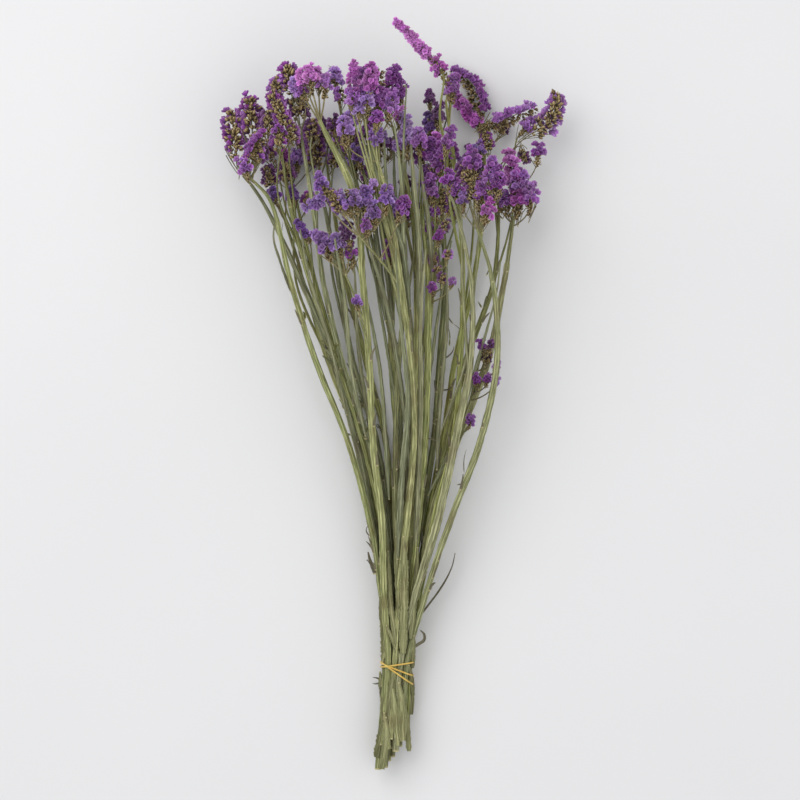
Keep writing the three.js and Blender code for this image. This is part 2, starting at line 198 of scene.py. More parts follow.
# One panicle at the tip of each stem, in the order of STEMS
TIP_PANICLES = (
    spikes((-80, 184, -80, 200, 5.5, LAVENDER), (-88, 188, -90, 199, 4.5, MAGENTA),
           (-76, 198, -72, 214, 6, PURPLE, BACK), (-99, 189, -107, 204, 6, PURPLE, BACK),
           (-88, 174, -90, 182, 5, PLUM), (-70, 185, -65, 197, 5, PLUM, BACK)),
    spikes((-50, 205, -44, 220, 6.5, PURPLE), (-58, 204, -60, 219, 6, VIOLET, BACK),
           (-41, 196, -31, 211, 6, VIOLET)),
    spikes((28, 160, 25, 181, 6.5, INDIGO), (48, 147, 48, 161, 5.5, PLUM), (37, 152, 38, 168, 5.5, PLUM),
           (15, 147, 12, 160, 5, PLUM, BACK)),
    spikes((68, 221, 45, 264, 7.5, PURPLE, RIGHT, 10), (73, 213, 45, 245, 6.5, MAGENTA),
           (62, 190, 59, 204, 5, PLUM), (84, 212, 90, 224, 5, PLUM, BACK)),
    spikes((-95, 156, -100, 168, 5.5, INDIGO), (-82, 154, -83, 168, 5.5, INDIGO),
           (-100, 168, -103, 184, 6.5, PLUM, BACK), (-88, 172, -88, 188, 6.5, PLUM, BACK),
           (-72, 152, -70, 164, 4.5, PURPLE, BACK)),
    spikes((-62, 184, -67, 218, 9.5, PURPLE, BACK), (-56, 211, -60, 224, 5.5, PLUM),
           (-50, 184, -48, 196, 5, PLUM, BACK)),
    spikes((-12, 199, -13, 214, 8, LAVENDER), (-21, 205, -22, 220, 7, PURPLE),
           (-4, 195, 0, 208, 6.5, PURPLE), (-18, 218, -18, 230, 6, PLUM), (-30, 190, -32, 206, 7, PURPLE)),
    spikes((28, 234, 27, 247, 4.5, PLUM), (34, 218, 35, 235, 6.5, PLUM), (28, 209, 27, 229, 5.5, INDIGO),
           (44, 240, 45, 256, 4.5, VIOLET, BACK)),
    spikes((72, 216, 114, 234, 7, VIOLET, LEFT), (109, 211, 130, 242, 9.5, VIOLET, BACK, 6),
           (102, 213, 110, 224, 6.5, VIOLET), (114, 190, 115, 202, 6.5, PURPLE),
           (75, 196, 72, 214, 5.5, PURPLE, BACK), (102, 199, 104, 188, 4.2, PLUM, BACK)),
    spikes((-127, 188, -131, 228, 9.5, PURPLE, BACK), (-114, 203, -117, 239, 11, PURPLE, BACK),
           (-110, 188, -106, 200, 5, PLUM, BACK)),
    spikes((-83, 241, -87, 265, 9, PURPLE, BACK), (-74, 238, -83, 253, 6, LAVENDER),
           (-77, 221, -79, 239, 9, PLUM, BACK), (-95, 234, -96, 254, 7, VIOLET, BACK),
           (-67, 206, -65, 221, 6.5, PLUM, BACK)),
    spikes((-35, 212, -37, 227, 7.5, LAVENDER), (-44, 236, -45, 247, 5.5, VIOLET, LEFT),
           (-47, 246, -49, 262, 8, LAVENDER), (-49, 212, -52, 223, 6, PLUM),
           (-45, 200, -48, 209, 5, VIOLET, BACK), (-38, 196, -42, 210, 6, PURPLE, BACK),
           (-28, 186, -30, 200, 6, INDIGO)),
    spikes((-5, 231, -1, 262, 8, PURPLE), (3, 219, 3, 231, 5, PINK), (4, 234, 3, 254, 6.5, PURPLE),
           (-13, 231, -14, 245, 5, VIOLET)),
    spikes((96, 164, 91, 196, 8.5, MAGENTA), (107, 151, 108, 169, 8, VIOLET), (84, 152, 80, 170, 6.5, PLUM),
           (98, 148, 98, 164, 8, MAGENTA), (90, 149, 87, 163, 7, VIOLET), (99, 158, 98, 180, 10, VIOLET)),
    spikes((-118, 184, -104, 210, 6, PURPLE, LEFT, -3), (-118, 176, -122, 188, 6.5, VIOLET),
           (-112, 186, -111, 204, 6.5, VIOLET, BACK)),
    spikes((-85, 209, -99, 242, 7.5, PURPLE, BACK), (-93, 209, -94, 215, 4, PURPLE),
           (-102, 207, -102, 227, 6.5, PLUM, BACK), (-92, 196, -94, 212, 7, PURPLE, BACK),
           (-84, 200, -82, 216, 6, PURPLE, BACK)),
    spikes((10, 194, 8, 223, 8, LAVENDER), (19, 195, 18, 212, 6.5, VIOLET), (5, 192, 3, 208, 6.5, LAVENDER)),
    spikes((30, 184, 27, 203, 6.5, PURPLE), (38, 184, 39, 202, 7, PURPLE), (33, 187, 32, 209, 6.5, MAGENTA),
           (52, 179, 53, 190, 5.5, VIOLET), (21, 184, 19, 200, 6.5, PURPLE), (36, 176, 36, 192, 7, PURPLE),
           (44, 186, 45, 200, 6, PURPLE), (28, 168, 25, 184, 7, PURPLE), (30, 156, 27, 172, 7, PURPLE)),
    spikes((39, 253, 31, 269, 7.5, MAGENTA), (33, 262, -1, 299, 5, PINK, FRONT, 1),
           (45, 238, 48, 256, 6.5, PURPLE)),
    spikes((-71, 245, -76, 258, 6, PINK), (-66, 245, -69, 261, 6.5, PINK), (-61, 245, -62, 259, 6.5, PINK),
           (-56, 241, -56, 254, 6.5, VIOLET), (-72, 238, -76, 247, 5.5, VIOLET)),
    spikes((-27, 234, -26, 260, 6.5, PURPLE), (-34, 228, -36, 244, 6, VIOLET),
           (-13, 226, -12, 244, 7, PURPLE), (-29, 222, -30, 234, 5.5, LAVENDER),
           (-5, 222, -4, 240, 7, VIOLET), (-31, 235, -33, 264, 6.5, MAGENTA),
           (-21, 235, -19, 263, 7, MAGENTA), (-15, 236, -13, 260, 5.5, MAGENTA, LEFT),
           (-23, 226, -22, 240, 7.5, LAVENDER), (-16, 196, -15, 211, 7, IRIS),
           (-39, 203, -41, 220, 7.5, LAVENDER), (-15, 214, -14, 226, 5.5, PURPLE)),
    spikes((43, 165, 43, 178, 7, PURPLE), (40, 194, 44, 213, 5, PURPLE), (50, 158, 47, 172, 6.5, PURPLE)),
    spikes((62, 154, 60, 190, 8.5, PLUM, BACK), (74, 165, 77, 189, 6.5, VIOLET),
           (54, 150, 53, 161, 5.5, IRIS), (71, 140, 74, 154, 7.5, MAGENTA), (68, 190, 66, 202, 5.5, INDIGO),
           (67, 152, 69, 172, 7, PURPLE), (80, 160, 82, 180, 7, PURPLE), (56, 166, 54, 184, 7, PLUM, BACK),
           (62, 176, 60, 196, 7, PURPLE)),
)


@dataclass(frozen=True)
class SideSpray:
    """A panicle that leaves a stem part of the way up.

    Attributes:
        name: The solid that it stands for.
        stem: Index of the stem in STEMS.
        side: -1 where it leaves to the left, 1 to the right; not used.
        leave: Height along the bunch of its joint.
        lift: How far its hub stands above the stem.
        hub: x and y of the end of its stalk.
        spikes: Its flower spikes.
    """

    name: str
    stem: int
    side: int
    leave: float
    lift: float
    hub: Pair
    spikes: tuple[Spike, ...]


SIDE_SPRAYS = (
    SideSpray("front_spray", 20, -1, 93, 11, (-30, 128), spikes(
        (-57, 161, -61, 175, 7, IRIS), (-52, 160, -70, 149, 7, IRIS), (-31, 141, -54, 162, 6.5, IRIS, BACK),
        (-35, 146, -43, 165, 6, IRIS, LEFT), (-24, 146, -24, 165, 7, IRIS), (-17, 138, -18, 151, 6.5, IRIS),
        (-23, 129, -24, 140, 4.5, PURPLE), (-17, 164, -17, 172, 3.5, LAVENDER),
        (-8, 148, -6, 164, 6.5, IRIS), (3, 142, 7, 156, 6.5, PURPLE), (-31, 150, -34, 162, 6, IRIS),
        (-42, 146, -50, 158, 6, IRIS, BACK),
    )),
    SideSpray("low_front_spray", 19, -1, 60, 1, (-40, 98), spikes(
        (-53, 112, -60, 129, 7, IRIS), (-44, 114, -48, 127, 6, IRIS), (-35, 107, -37, 119, 7.5, PURPLE),
        (-37, 120, -41, 140, 5.5, PLUM), (-58, 122, -66, 132, 4.2, LAVENDER),
    )),
    SideSpray("small_button_spray", 19, -1, 46, 12, (-28, 62), spikes((-30, 71, -31, 80, 4.2, IRIS))),
    SideSpray("indigo_spray", 15, 1, 86, 9, (-67, 116), spikes((-69, 124, -79, 141, 3.5, INDIGO))),
    SideSpray("lavender_spray", 16, -1, 84, 0, (0, 130), spikes(
        (0, 138, -6, 166, 5, LAVENDER), (-4, 106, -6, 125, 3.8, PURPLE),
    )),
    SideSpray("dusky_spray", 6, 1, 96, 0, (9, 134), spikes(
        (10, 140, 9, 156, 5.5, PURPLE), (8, 165, 8, 178, 5, PLUM),
    )),
    SideSpray("violet_spray", 6, -1, 130, 0, (-22, 168), spikes(
        (-32, 180, -36, 205, 6.5, INDIGO), (-23, 172, -24, 184, 5, PURPLE),
    )),
    SideSpray("sparse_spray", 17, 1, 30, 0, (35, 138), spikes(
        (32, 142, 31, 153, 4, PURPLE), (34, 122, 35, 133, 3.8, PURPLE), (31, 105, 30, 115, 3.4, PLUM, BACK),
        (41, 108, 42, 117, 3, VIOLET, BACK), (30, 82, 28, 92, 3.4, PURPLE),
        (37, 89, 38, 99, 3.2, PLUM, BACK), (44, 88, 46, 94, 2.6, VIOLET), (34, 98, 33, 104, 2.6, PLUM, BACK),
        (38, 130, 41, 141, 3.4, PLUM, BACK), (28, 130, 26, 141, 3.4, PURPLE),
        (36, 143, 37, 166, 5.5, PLUM, BACK), (41, 144, 47, 151, 2.6, PLUM, BACK),
    )),
    SideSpray("low_right_spray", 13, -1, -10, 7, (70, 38), spikes(
        (70, 37, 68, 46, 3, PURPLE), (75, 37, 77, 45, 3, PLUM), (72, 26, 73, 37, 4.2, PLUM, BACK),
        (66, 9, 64, 18, 3.2, PURPLE), (73, 10, 75, 18, 3.2, PURPLE), (80, 22, 83, 29, 2.8, VIOLET),
        (79, 9, 82, 15, 2.8, LAVENDER),
    )),
    SideSpray("lone_floret", 13, 1, -36, 8, (58, -24), spikes((59, -24, 61, -14, 3, VIOLET))),
)


@dataclass(frozen=True)
class Wisp:
    """A withered leaf or a bare twig.

    Attributes:
        name: The solid that it stands for.
        stem: Index of the stem that it grows on.
        side: -1 where it leaves to the left, 1 to the right.
        leave: Height along the bunch of its joint.
        girth: Half its width.
        flat: Thickness as a share of its width.
        way: x, y and rise above the joint of its points.
    """

    name: str
    stem: int
    side: int
    leave: float
    girth: float
    flat: float
    way: tuple[Triple, ...]


WISPS = (
    Wisp("bare_twig", 13, 1, -178, 0.9, 1, ((36, -155, 1), (45, -138, 2), (48, -126, 2))),
    Wisp("curled_leaf", 22, 1, -202, 1.3, 0.5, ((19, -199, 1), (23, -196, 2), (23, -191, 4), (20, -188, 6))),
    Wisp("withered_leaf", 14, -1, -143, 1.5, 0.5, ((-19, -136, 1), (-21, -130, 3), (-22, -125, 5))),
)


# x and y of the foot, heading, length, turn and girth of each curled wisp
CURLS = (
    (-20.4, -112.4, 140, 12, -150, 0.6), (-16, -140, 118, 12, 40, 0.8), (-16, -138, 150, 10, -50, 0.7),
    (-15.5, -143, 100, 10, 50, 0.6), (-12, -229, 150, 7, 40, 0.8), (-12, -231, 205, 7, -50, 0.8),
    (-11, -233, 245, 8, 40, 0.8), (-8, -231, -20, 17, 70, 0.9), (3, -226, 200, 12, 110, 0.8),
    (-9, -18, -80, 15, -220, 0.8), (-36, -31, 160, 6, 60, 1.0), (-42, -10, 100, 9, 40, 0.7),
    (22, -33, -5, 14, -40, 0.9), (38, 30, 25, 15, 70, 0.8), (38, 5, 5, 10, 60, 0.8),
    (4, -41, 60, 17, 60, 1.3), (-10, -68, 80, 17, 30, 0.7), (46, 58, 130, 13, -40, 0.7),
    (56, 45, 110, 17, 50, 0.5), (33, -63, 75, 23, 14, 1.7), (55, -61, 95, 19, -30, 0.5),
    (49, -71, 20, 9, -110, 0.6), (26.5, -156, 70, 9, -60, 2.0), (-83, 88, 104, 22, -4, 0.5),
    (-89, 109, 99, 30, -22, 0.5), (-46, 262, 141, 10, 20, 0.6), (-30, 64, 100, 15, -60, 0.8),
    (72, 96, 60, 14, 60, 0.7),
)

# Layer, girth and places of each branch that crosses the fan
CROSSINGS = (
    (2.6, 1.5, (26, -80), (46, -38), (66, 29), (80, 79), (84, 108)),
    (3.6, 1.9, (-5, -83), (-8, -35), (-12, 17), (-23, 77), (-35, 117)),
    (2.6, 1.7, (8, -59), (0, -3), (-8, 45), (-15, 86), (-22, 129)),
    (4.5, 2.0, (12, -60), (4, 13), (-6, 69), (-19, 113), (-28, 140)),
    (1.6, 1.5, (19, -50), (29, 29), (39, 94), (45, 125)),
    (3.6, 1.3, (36, -30), (58, 36), (63, 85), (66, 125)),
    (3.5, 1.5, (-39, -15), (-52, 41), (-68, 93), (-76, 133)),
    (4.4, 1.8, (-24, -32), (-35, 21), (-40, 77), (-48, 125)),
    (4.4, 1.6, (33, -59), (36, -3), (41, 53), (41, 101)),
    (4.6, 2.7, (2, -131), (5, -67), (10, -3), (4, 61), (0, 117)),
    (3.6, 2.6, (16, -131), (18, -67), (20, -3), (20, 61), (24, 117)),
    (0.6, 2.2, (6, -120), (10, -40), (14, 40), (8, 100), (4, 140)),
    (1.6, 2.0, (-12, -110), (-20, -30), (-30, 40), (-33, 100), (-40, 140)),
    (3.6, 2.3, (-8, 60), (-12, 100), (-18, 150), (-23, 200)),
    (2.6, 2.3, (-2, 60), (-8, 110), (-14, 160), (-16, 205)),
    (3.4, 2.3, (4, 60), (-2, 110), (-7, 160), (-9, 205)),
    (2.4, 2.1, (10, 60), (5, 110), (0, 160), (-2, 208)),
    (1.5, 2.1, (16, 60), (18, 110), (14, 150), (14, 195)),
    (4.1, 2.1, (12, 70), (5, 121), (-4, 145), (-12, 169), (-20, 197), (-26, 222)),
    (4.1, 2.0, (8, 80), (6, 137), (5, 165), (2, 197), (-1, 217)),
    (3.3, 2.5, (20, 60), (18, 133), (15, 165), (12, 204)),
    (3.1, 2.3, (30, 80), (27, 133), (22, 169), (17, 206)),
    (3.2, 1.1, (-84, 84), (-92, 108), (-97, 125), (-96, 140)),
    (3.9, 1.1, (4, 150), (6, 180), (7, 215), (9, 247)),
)


# x, y, number of leaves and their length
KNOTS = (
    (-23.6, -32.4, 8, 11), (-50, 34, 7, 17), (-46, 22, 5, 14), (-26, -8, 4, 12), (2, 20, 3, 9),
    (33, -20, 4, 9), (42, 44, 3, 10), (-72, 62, 3, 9), (70, 70, 3, 9),
)

# Girth, lightness and places of each torn sheath
SHEATHS = (
    (3.4, 0.0, (-7.6, -258), (-12.4, -276.4), (-14.8, -291)),
    (3.0, 0.5, (-7.6, -268), (-8.4, -284.4), (-10.8, -300)),
    (2.6, 1.0, (-9.2, -254), (-7.6, -268), (-6, -284)), (2.6, 1.0, (-2.8, -232), (-0.4, -254.8), (2, -281)),
    (3.4, 0.7, (2.8, -230), (5.2, -252.4), (6, -277)), (2.2, 0.8, (8.4, -252), (9.6, -268), (10.8, -286)),
    (2.3, 0.2, (10.8, -216), (13.2, -234.8), (12.4, -257)),
    (2.6, 0.3, (-12.6, -222), (-10, -242.8), (-9.2, -262)),
    (3.6, 0.6, (6.8, -112), (6.8, -162.8), (6, -207)), (3.0, 0.5, (13.2, -112), (12.4, -162.8), (9.2, -203)),
    (2.2, 0.2, (18, -121), (16.4, -154.8), (12.4, -195)),
    (2.4, 0.4, (-6, -124), (-4.4, -162.8), (0.4, -199)),
    (2.5, 0.3, (-12.4, -160), (-10, -186.8), (-9.4, -215)),
    (1.6, 0.5, (-7.6, -183.6), (-2.8, -194.8), (2.8, -211)),
    (1.8, 0.8, (-10.8, -214), (-6.8, -201.2), (-3.6, -190.8)),
    (2.6, 0.4, (0.4, -112), (2, -146.8), (3.6, -179)), (2.2, 0.3, (14.8, -192), (14, -204), (13.4, -219)),
    (2.4, 0.2, (-1, -222), (-4.4, -240), (-6, -262)),
)


@dataclass(frozen=True)
class Layering:
    """Where the layers and slots of the bunch lie."""

    tie_y: float = -217
    lowest_cut_y: float = -301
    cut_drift: float = -5
    cut_spread: float = 1.08
    tie_z: float = 4.1
    tie_step: float = 4.8
    cut_z: float = 2.5
    cut_step: float = 4.85
    head_y: float = 150
    head_z: float = 9
    head_step: float = 19.5
    fan_power: float = 1.25
    slot_step: float = 4.9
    bundle_x: float = 1.6
    stations: tuple[float, ...] = (-163, -99, -35, 29, 93, 157)
    radii: Table = ((0, 2.5), (0.15, 2.5), (0.38, 3.2), (0.62, 2.9), (1, 1.3))
    flat: float = 0.84
    across_flats: float = 0.87
    clearance: float = 0.45
    stalk_length: float = 38

    def height(self, stem: StemLine, y: float) -> float:
        """Find how high a stem's middle lies.

        Args:
            stem: The stem.
            y: Height along the bunch.

        Returns:
            Its z in millimetres.
        """
        if y < self.tie_y:
            share = (self.tie_y - y) / (self.tie_y - self.lowest_cut_y)
            step = self.tie_step + share * (self.cut_step - self.tie_step)
            base = self.tie_z + share * (self.cut_z - self.tie_z)
        else:
            share = min(1.0, (y - self.tie_y) / (self.head_y - self.tie_y)) ** self.fan_power
            step = self.tie_step + share * (self.head_step - self.tie_step)
            base = self.tie_z + share * (self.head_z - self.tie_z)
        return base + stem.layer * step + stem.drift * max(0.0, (step - self.tie_step) / 2)

    def held_x(self, stem: StemLine) -> float:
        """Find the x at which the band holds a stem."""
        row = sum(other.layer == stem.layer for other in STEMS)
        return self.bundle_x + (stem.slot - (row - 1) / 2) * self.slot_step

    def radius(self, share: float) -> float:
        """Find the radius of a stem's solid at a share of its length."""
        return read(self.radii, share)

    def way(self, stem: StemLine) -> Way:
        """Lay the curve of a stem from the cut end to its tip."""
        held = self.held_x(stem)
        hang = (self.tie_y - stem.cut) / (self.tie_y - self.lowest_cut_y)
        cut_x = held * (1 + hang * (self.cut_spread - 1)) + self.cut_drift * hang
        places = [(cut_x, stem.cut), (held, self.tie_y), *zip(stem.stations, self.stations), stem.tip]
        return Way.through([Vector((x, y, self.height(stem, y))) for x, y in places])

    def beside(self, way: Way, y: float, side: int) -> Vector:
        """Find the place just off a stem's skin.

        Args:
            way: The stem's way.
            y: Height along the bunch.
            side: -1 for its left side, 1 for its right.

        Returns:
            The point.
        """
        share = way.share_at(y)
        point = way.at(share)
        point.x += side * (self.radius(share) * self.across_flats + self.clearance)
        return point


class Way:
    """A smooth way in space, measured along its length."""

    steps = 14

    def __init__(self, points: list[Vector]) -> None:
        """Keep the points and their distances.

        Args:
            points: Points close together along the way.
        """
        self.points = points
        self.marks = [0.0]
        for before, after in zip(points, points[1:]):
            self.marks.append(self.marks[-1] + (after - before).length)

    @classmethod
    def through(cls, knots: list[Vector]) -> "Way":
        """Run smoothly through knots, with more room round a long span.

        Args:
            knots: The points to pass.

        Returns:
            The way.
        """
        ends = [2 * knots[0] - knots[1], *knots, 2 * knots[-1] - knots[-2]]
        points = []
        for a, b, c, d in zip(ends, ends[1:], ends[2:], ends[3:]):
            before, span, after = (math.sqrt((q - p).length) for p, q in ((a, b), (b, c), (c, d)))
            leave = ((b - a) / before - (c - a) / (before + span) + (c - b) / span) * span
            reach = ((c - b) / span - (d - b) / (span + after) + (d - c) / after) * span
            for step in range(cls.steps):
                t = step / cls.steps
                points.append(
                    b * (2 * t**3 - 3 * t**2 + 1)
                    + leave * (t**3 - 2 * t**2 + t)
                    + c * (3 * t**2 - 2 * t**3)
                    + reach * (t**3 - t**2)
                )
        return cls([*points, knots[-1].copy()])

    @classmethod
    def bent(cls, start: Vector, control: Vector, end: Vector) -> "Way":
        """Run from one point to another, drawn towards a third.

        Args:
            start: First point.
            control: The point that draws it.
            end: Last point.

        Returns:
            The way.
        """
        shares = [step / cls.steps for step in range(cls.steps + 1)]
        return cls([start * (1 - t) ** 2 + control * 2 * t * (1 - t) + end * t**2 for t in shares])

    @property
    def length(self) -> float:
        """Give the whole length."""
        return self.marks[-1]

    def at(self, share: float) -> Vector:
        """Find the point at a share of the length."""
        mark = min(max(share, 0.0), 1.0) * self.length
        after = min(max(bisect_left(self.marks, mark), 1), len(self.marks) - 1)
        low, high = self.marks[after - 1], self.marks[after]
        return self.points[after - 1].lerp(self.points[after], (mark - low) / (high - low))

    def share_at(self, y: float) -> float:
        """Find the share of the length at which the way passes a height along the bunch."""
        for i, (low, high) in enumerate(zip(self.points, self.points[1:])):
            if high.y >= y:
                within = min(max((y - low.y) / (high.y - low.y), 0.0), 1.0)
                return (self.marks[i] + within * (self.marks[i + 1] - self.marks[i])) / self.length
        return 1.0

    def part(self, start: float, end: float, step: float = 5.0) -> list[Vector]:
        """Cut out a stretch.

        Args:
            start: Share of the length where it starts.
            end: Share of the length where it ends.
            step: Longest distance between its points.

        Returns:
            The points of the stretch.
        """
        count = max(2, math.ceil((end - start) * self.length / step))
        return [self.at(start + (end - start) * i / count) for i in range(count + 1)]


@dataclass
class Spines:
    """Lines that a node tree grows pieces on, with what each of their points knows."""

    points: list[Vector] = field(default_factory=list)
    edges: list[tuple[int, int]] = field(default_factory=list)
    girths: list[float] = field(default_factory=list)
    facings: list[Vector] = field(default_factory=list)
    tints: list[Triple] = field(default_factory=list)
    crowns: list[float] = field(default_factory=list)
    crown_power: int = 3

    def add(
        self,
        points: list[Vector],
        girths: list[float],
        facing: Vector = UP,
        tint: Triple = (0.5, 0.5, 0.5),
    ) -> None:
        """Add one line.

        Args:
            points: Its points, in millimetres.
            girths: Half the width at each point, in millimetres.
            facing: The side to which what grows on it opens.
            tint: Colour or tone of what grows on it.
        """
        first = len(self.points)
        self.points += points
        self.edges += [(first + i, first + i + 1) for i in range(len(points) - 1)]
        self.girths += girths
        for i, point in enumerate(points):
            after = points[min(i + 1, len(points) - 1)]
            before = points[max(i - 1, 0)]
            along = (after - before).normalized()
            across = facing - facing.dot(along) * along
            self.facings.append(across if across.length > 1e-3 else along.orthogonal())
            self.crowns.append((i / (len(points) - 1)) ** self.crown_power)
        self.tints += [tint] * len(points)

    def stand(self, name: str) -> bpy.types.Object:
        """Put the lines in the scene.

        Args:
            name: Name of the object.

        Returns:
            An object of points and edges, in metres, that carries the facts as attributes.
        """
        mesh = bpy.data.meshes.new(name)
        mesh.from_pydata([point * MM for point in self.points], self.edges, [])
        for title, kind, values in (
            ("girth", "FLOAT", [girth * MM for girth in self.girths]),
            ("crown", "FLOAT", self.crowns),
            ("facing", "FLOAT_VECTOR", [c for vector in self.facings for c in vector]),
            ("tint", "FLOAT_VECTOR", [c for tint in self.tints for c in tint]),
        ):
            layer = mesh.attributes.new(title, kind, "POINT")
            layer.data.foreach_set("value" if kind == "FLOAT" else "vector", values)
        made = bpy.data.objects.new(name, mesh)
        bpy.context.scene.collection.objects.link(made)
        return made


class Nodes:
    """A node tree that is being drawn."""

    def __init__(self, tree: bpy.types.NodeTree) -> None:
        """Keep the tree."""
        self.tree = tree

    def node(self, kind: str, *feeds: object, **settings: object) -> bpy.types.Node:
        """Add a node.

        Args:
            kind: Node type.
            feeds: What its first enabled inputs get.
            settings: Its properties, or with a leading capital its inputs by name.

        Returns:
            The node.
        """
        made = self.tree.nodes.new(kind)
        for title, value in settings.items():
            if title[0].isupper():
                self.feed(made.inputs[title.replace("_", " ")], value)
            else:
                setattr(made, title, value)
        for socket, value in zip([socket for socket in made.inputs if socket.enabled], feeds):
            self.feed(socket, value)
        return made

    def feed(self, socket: Socket, value: object) -> None:
        """Link a socket to an input, or set the input to a value."""
        if isinstance(value, Socket):
            self.tree.links.new(value, socket)
        else:
            socket.default_value = value

    def maths(self, operation: str, *feeds: object) -> Socket:
        """Add a number operation and return its result."""
        return self.node("ShaderNodeMath", *feeds, operation=operation).outputs[0]

    def vectors(self, operation: str, *feeds: object) -> Socket:
        """Add a vector operation and return its result."""
        made = self.node("ShaderNodeVectorMath", *feeds, operation=operation)
        return next(socket for socket in made.outputs if socket.enabled)

    def scaled(self, vector: Socket, factor: object) -> Socket:
        """Scale a vector by a number or a socket."""
        return self.node("ShaderNodeVectorMath", operation="SCALE", Vector=vector, Scale=factor).outputs[0]


class Sheet(Nodes):
    """A geometry node tree that is being drawn."""

    lowest = 0.0001
    easing = 0.0008

    def __init__(self, name: str, **inputs: object) -> None:
        """Start the tree with its named inputs.

        Args:
            name: Name of the tree.
            inputs: The default of each input by name, or the kind of thing that it takes.
        """
        super().__init__(bpy.data.node_groups.new(name, "GeometryNodeTree"))
        face = self.tree.interface
        face.new_socket("Geometry", in_out="INPUT", socket_type="NodeSocketGeometry")
        face.new_socket("Geometry", in_out="OUTPUT", socket_type="NodeSocketGeometry")
        for title, default in inputs.items():
            kind = {float: "Float", int: "Int"}.get(type(default), default)
            socket = face.new_socket(title.replace("_", " "), in_out="INPUT", socket_type=f"NodeSocket{kind}")
            if kind is not default:
                socket.default_value = default
        self.inputs = self.tree.nodes.new("NodeGroupInput").outputs
        self.result = self.tree.nodes.new("NodeGroupOutput").inputs
        self.place = self.node("GeometryNodeInputPosition").outputs[0]

    def then(self, kind: str, geometry: Socket, **settings: object) -> Socket:
        """Add a node that changes a geometry.

        Args:
            kind: Node type, without the words that every such type starts with.
            geometry: What its first input gets.
            settings: Its properties and its other inputs.

        Returns:
            The changed geometry.
        """
        return self.node(f"GeometryNode{kind}", geometry, **settings).outputs[0]

    def named(self, title: str, kind: str = "FLOAT") -> Socket:
        """Read an attribute of that name."""
        return self.node("GeometryNodeInputNamedAttribute", title, data_type=kind).outputs["Attribute"]

    def store(
        self,
        geometry: Socket,
        title: str,
        value: Socket,
        kind: str = "FLOAT",
        domain: str = "POINT",
    ) -> Socket:
        """Store a field on a geometry.

        Args:
            geometry: The geometry.
            title: Name of the attribute.
            value: The field.
            kind: FLOAT or FLOAT_VECTOR.
            domain: What carries it.

        Returns:
            The geometry with the attribute.
        """
        settings = {"data_type": kind, "domain": domain, "Name": title, "Value": value}
        return self.then("StoreNamedAttribute", geometry, **settings)

    def noise(self, vector: Socket, scale: object, output: object = 0) -> Socket:
        """Give a noise of a scale on a coordinate, as a number or as its Color."""
        made = self.node("ShaderNodeTexNoise", noise_dimensions="3D", Vector=vector, Scale=scale)
        return made.outputs[output]

    def strayed(self, scale: float, reach: Socket) -> Socket:
        """Give a small offset that changes from place to place.

        Args:
            scale: Changes in a metre.
            reach: Size of the offset.

        Returns:
            The offset.
        """
        centred = self.vectors("SUBTRACT", self.noise(self.place, scale, "Color"), (0.5, 0.5, 0.5))
        return self.scaled(centred, reach)

    def hand_out(self, geometry: Socket, place: Socket) -> None:
        """Place a geometry, keep it from sinking into the table and give it its material.

        Args:
            geometry: The geometry.
            place: Where its points go, before their z is eased to stay above zero.
        """
        x, y, z = self.node("ShaderNodeSeparateXYZ", place).outputs
        eased = self.maths("SMOOTH_MAX", z, self.lowest, self.easing)
        above = self.node("ShaderNodeCombineXYZ", x, y, eased).outputs[0]
        rested = self.then("SetPosition", geometry, Position=above)
        dressed = self.then("SetMaterial", rested, Material=self.inputs["Material"])
        self.feed(self.result["Geometry"], dressed)

    def grow(self, spines: bpy.types.Object, values: dict[str, object]) -> bpy.types.Mesh:
        """Run the tree on an object and take the plain mesh.

        Args:
            spines: The object, which is removed.
            values: Value of each input, by name.

        Returns:
            The grown mesh.
        """
        modifier = spines.modifiers.new(self.tree.name, "NODES")
        modifier.node_group = self.tree
        for item in self.tree.interface.items_tree:
            if item.in_out == "INPUT" and item.name in values:
                modifier[item.identifier] = values[item.name]
        graph = bpy.context.evaluated_depsgraph_get()
        mesh = bpy.data.meshes.new_from_object(
            spines.evaluated_get(graph), preserve_all_data_layers=True, depsgraph=graph
        )
        spines.modifiers.remove(modifier)
        bpy.data.objects.remove(spines)
        return mesh


# Changes of each noise in a metre
WANDER_GRAIN = 38.0
LUMP_GRAIN = 130.0
CRUMPLE_GRAIN = 420.0
# How far a noise around zero is stretched
FRAY_GAIN = 3.0
NOISE_GAIN = 4.0
# Where a stalk's twist starts, as a share of a metre of it
START_TURN = 0.3
# How the ranks stand: metres for the gap and the reach, radians for the turn, shares for the rest
LEAST_GAP = 0.0003
LUMP_REACH = 0.006
FAN_TURN = 2.4
TWIRL = 0.35
FARTHEST = 1.15
SIZES = (0.8, 1.2)


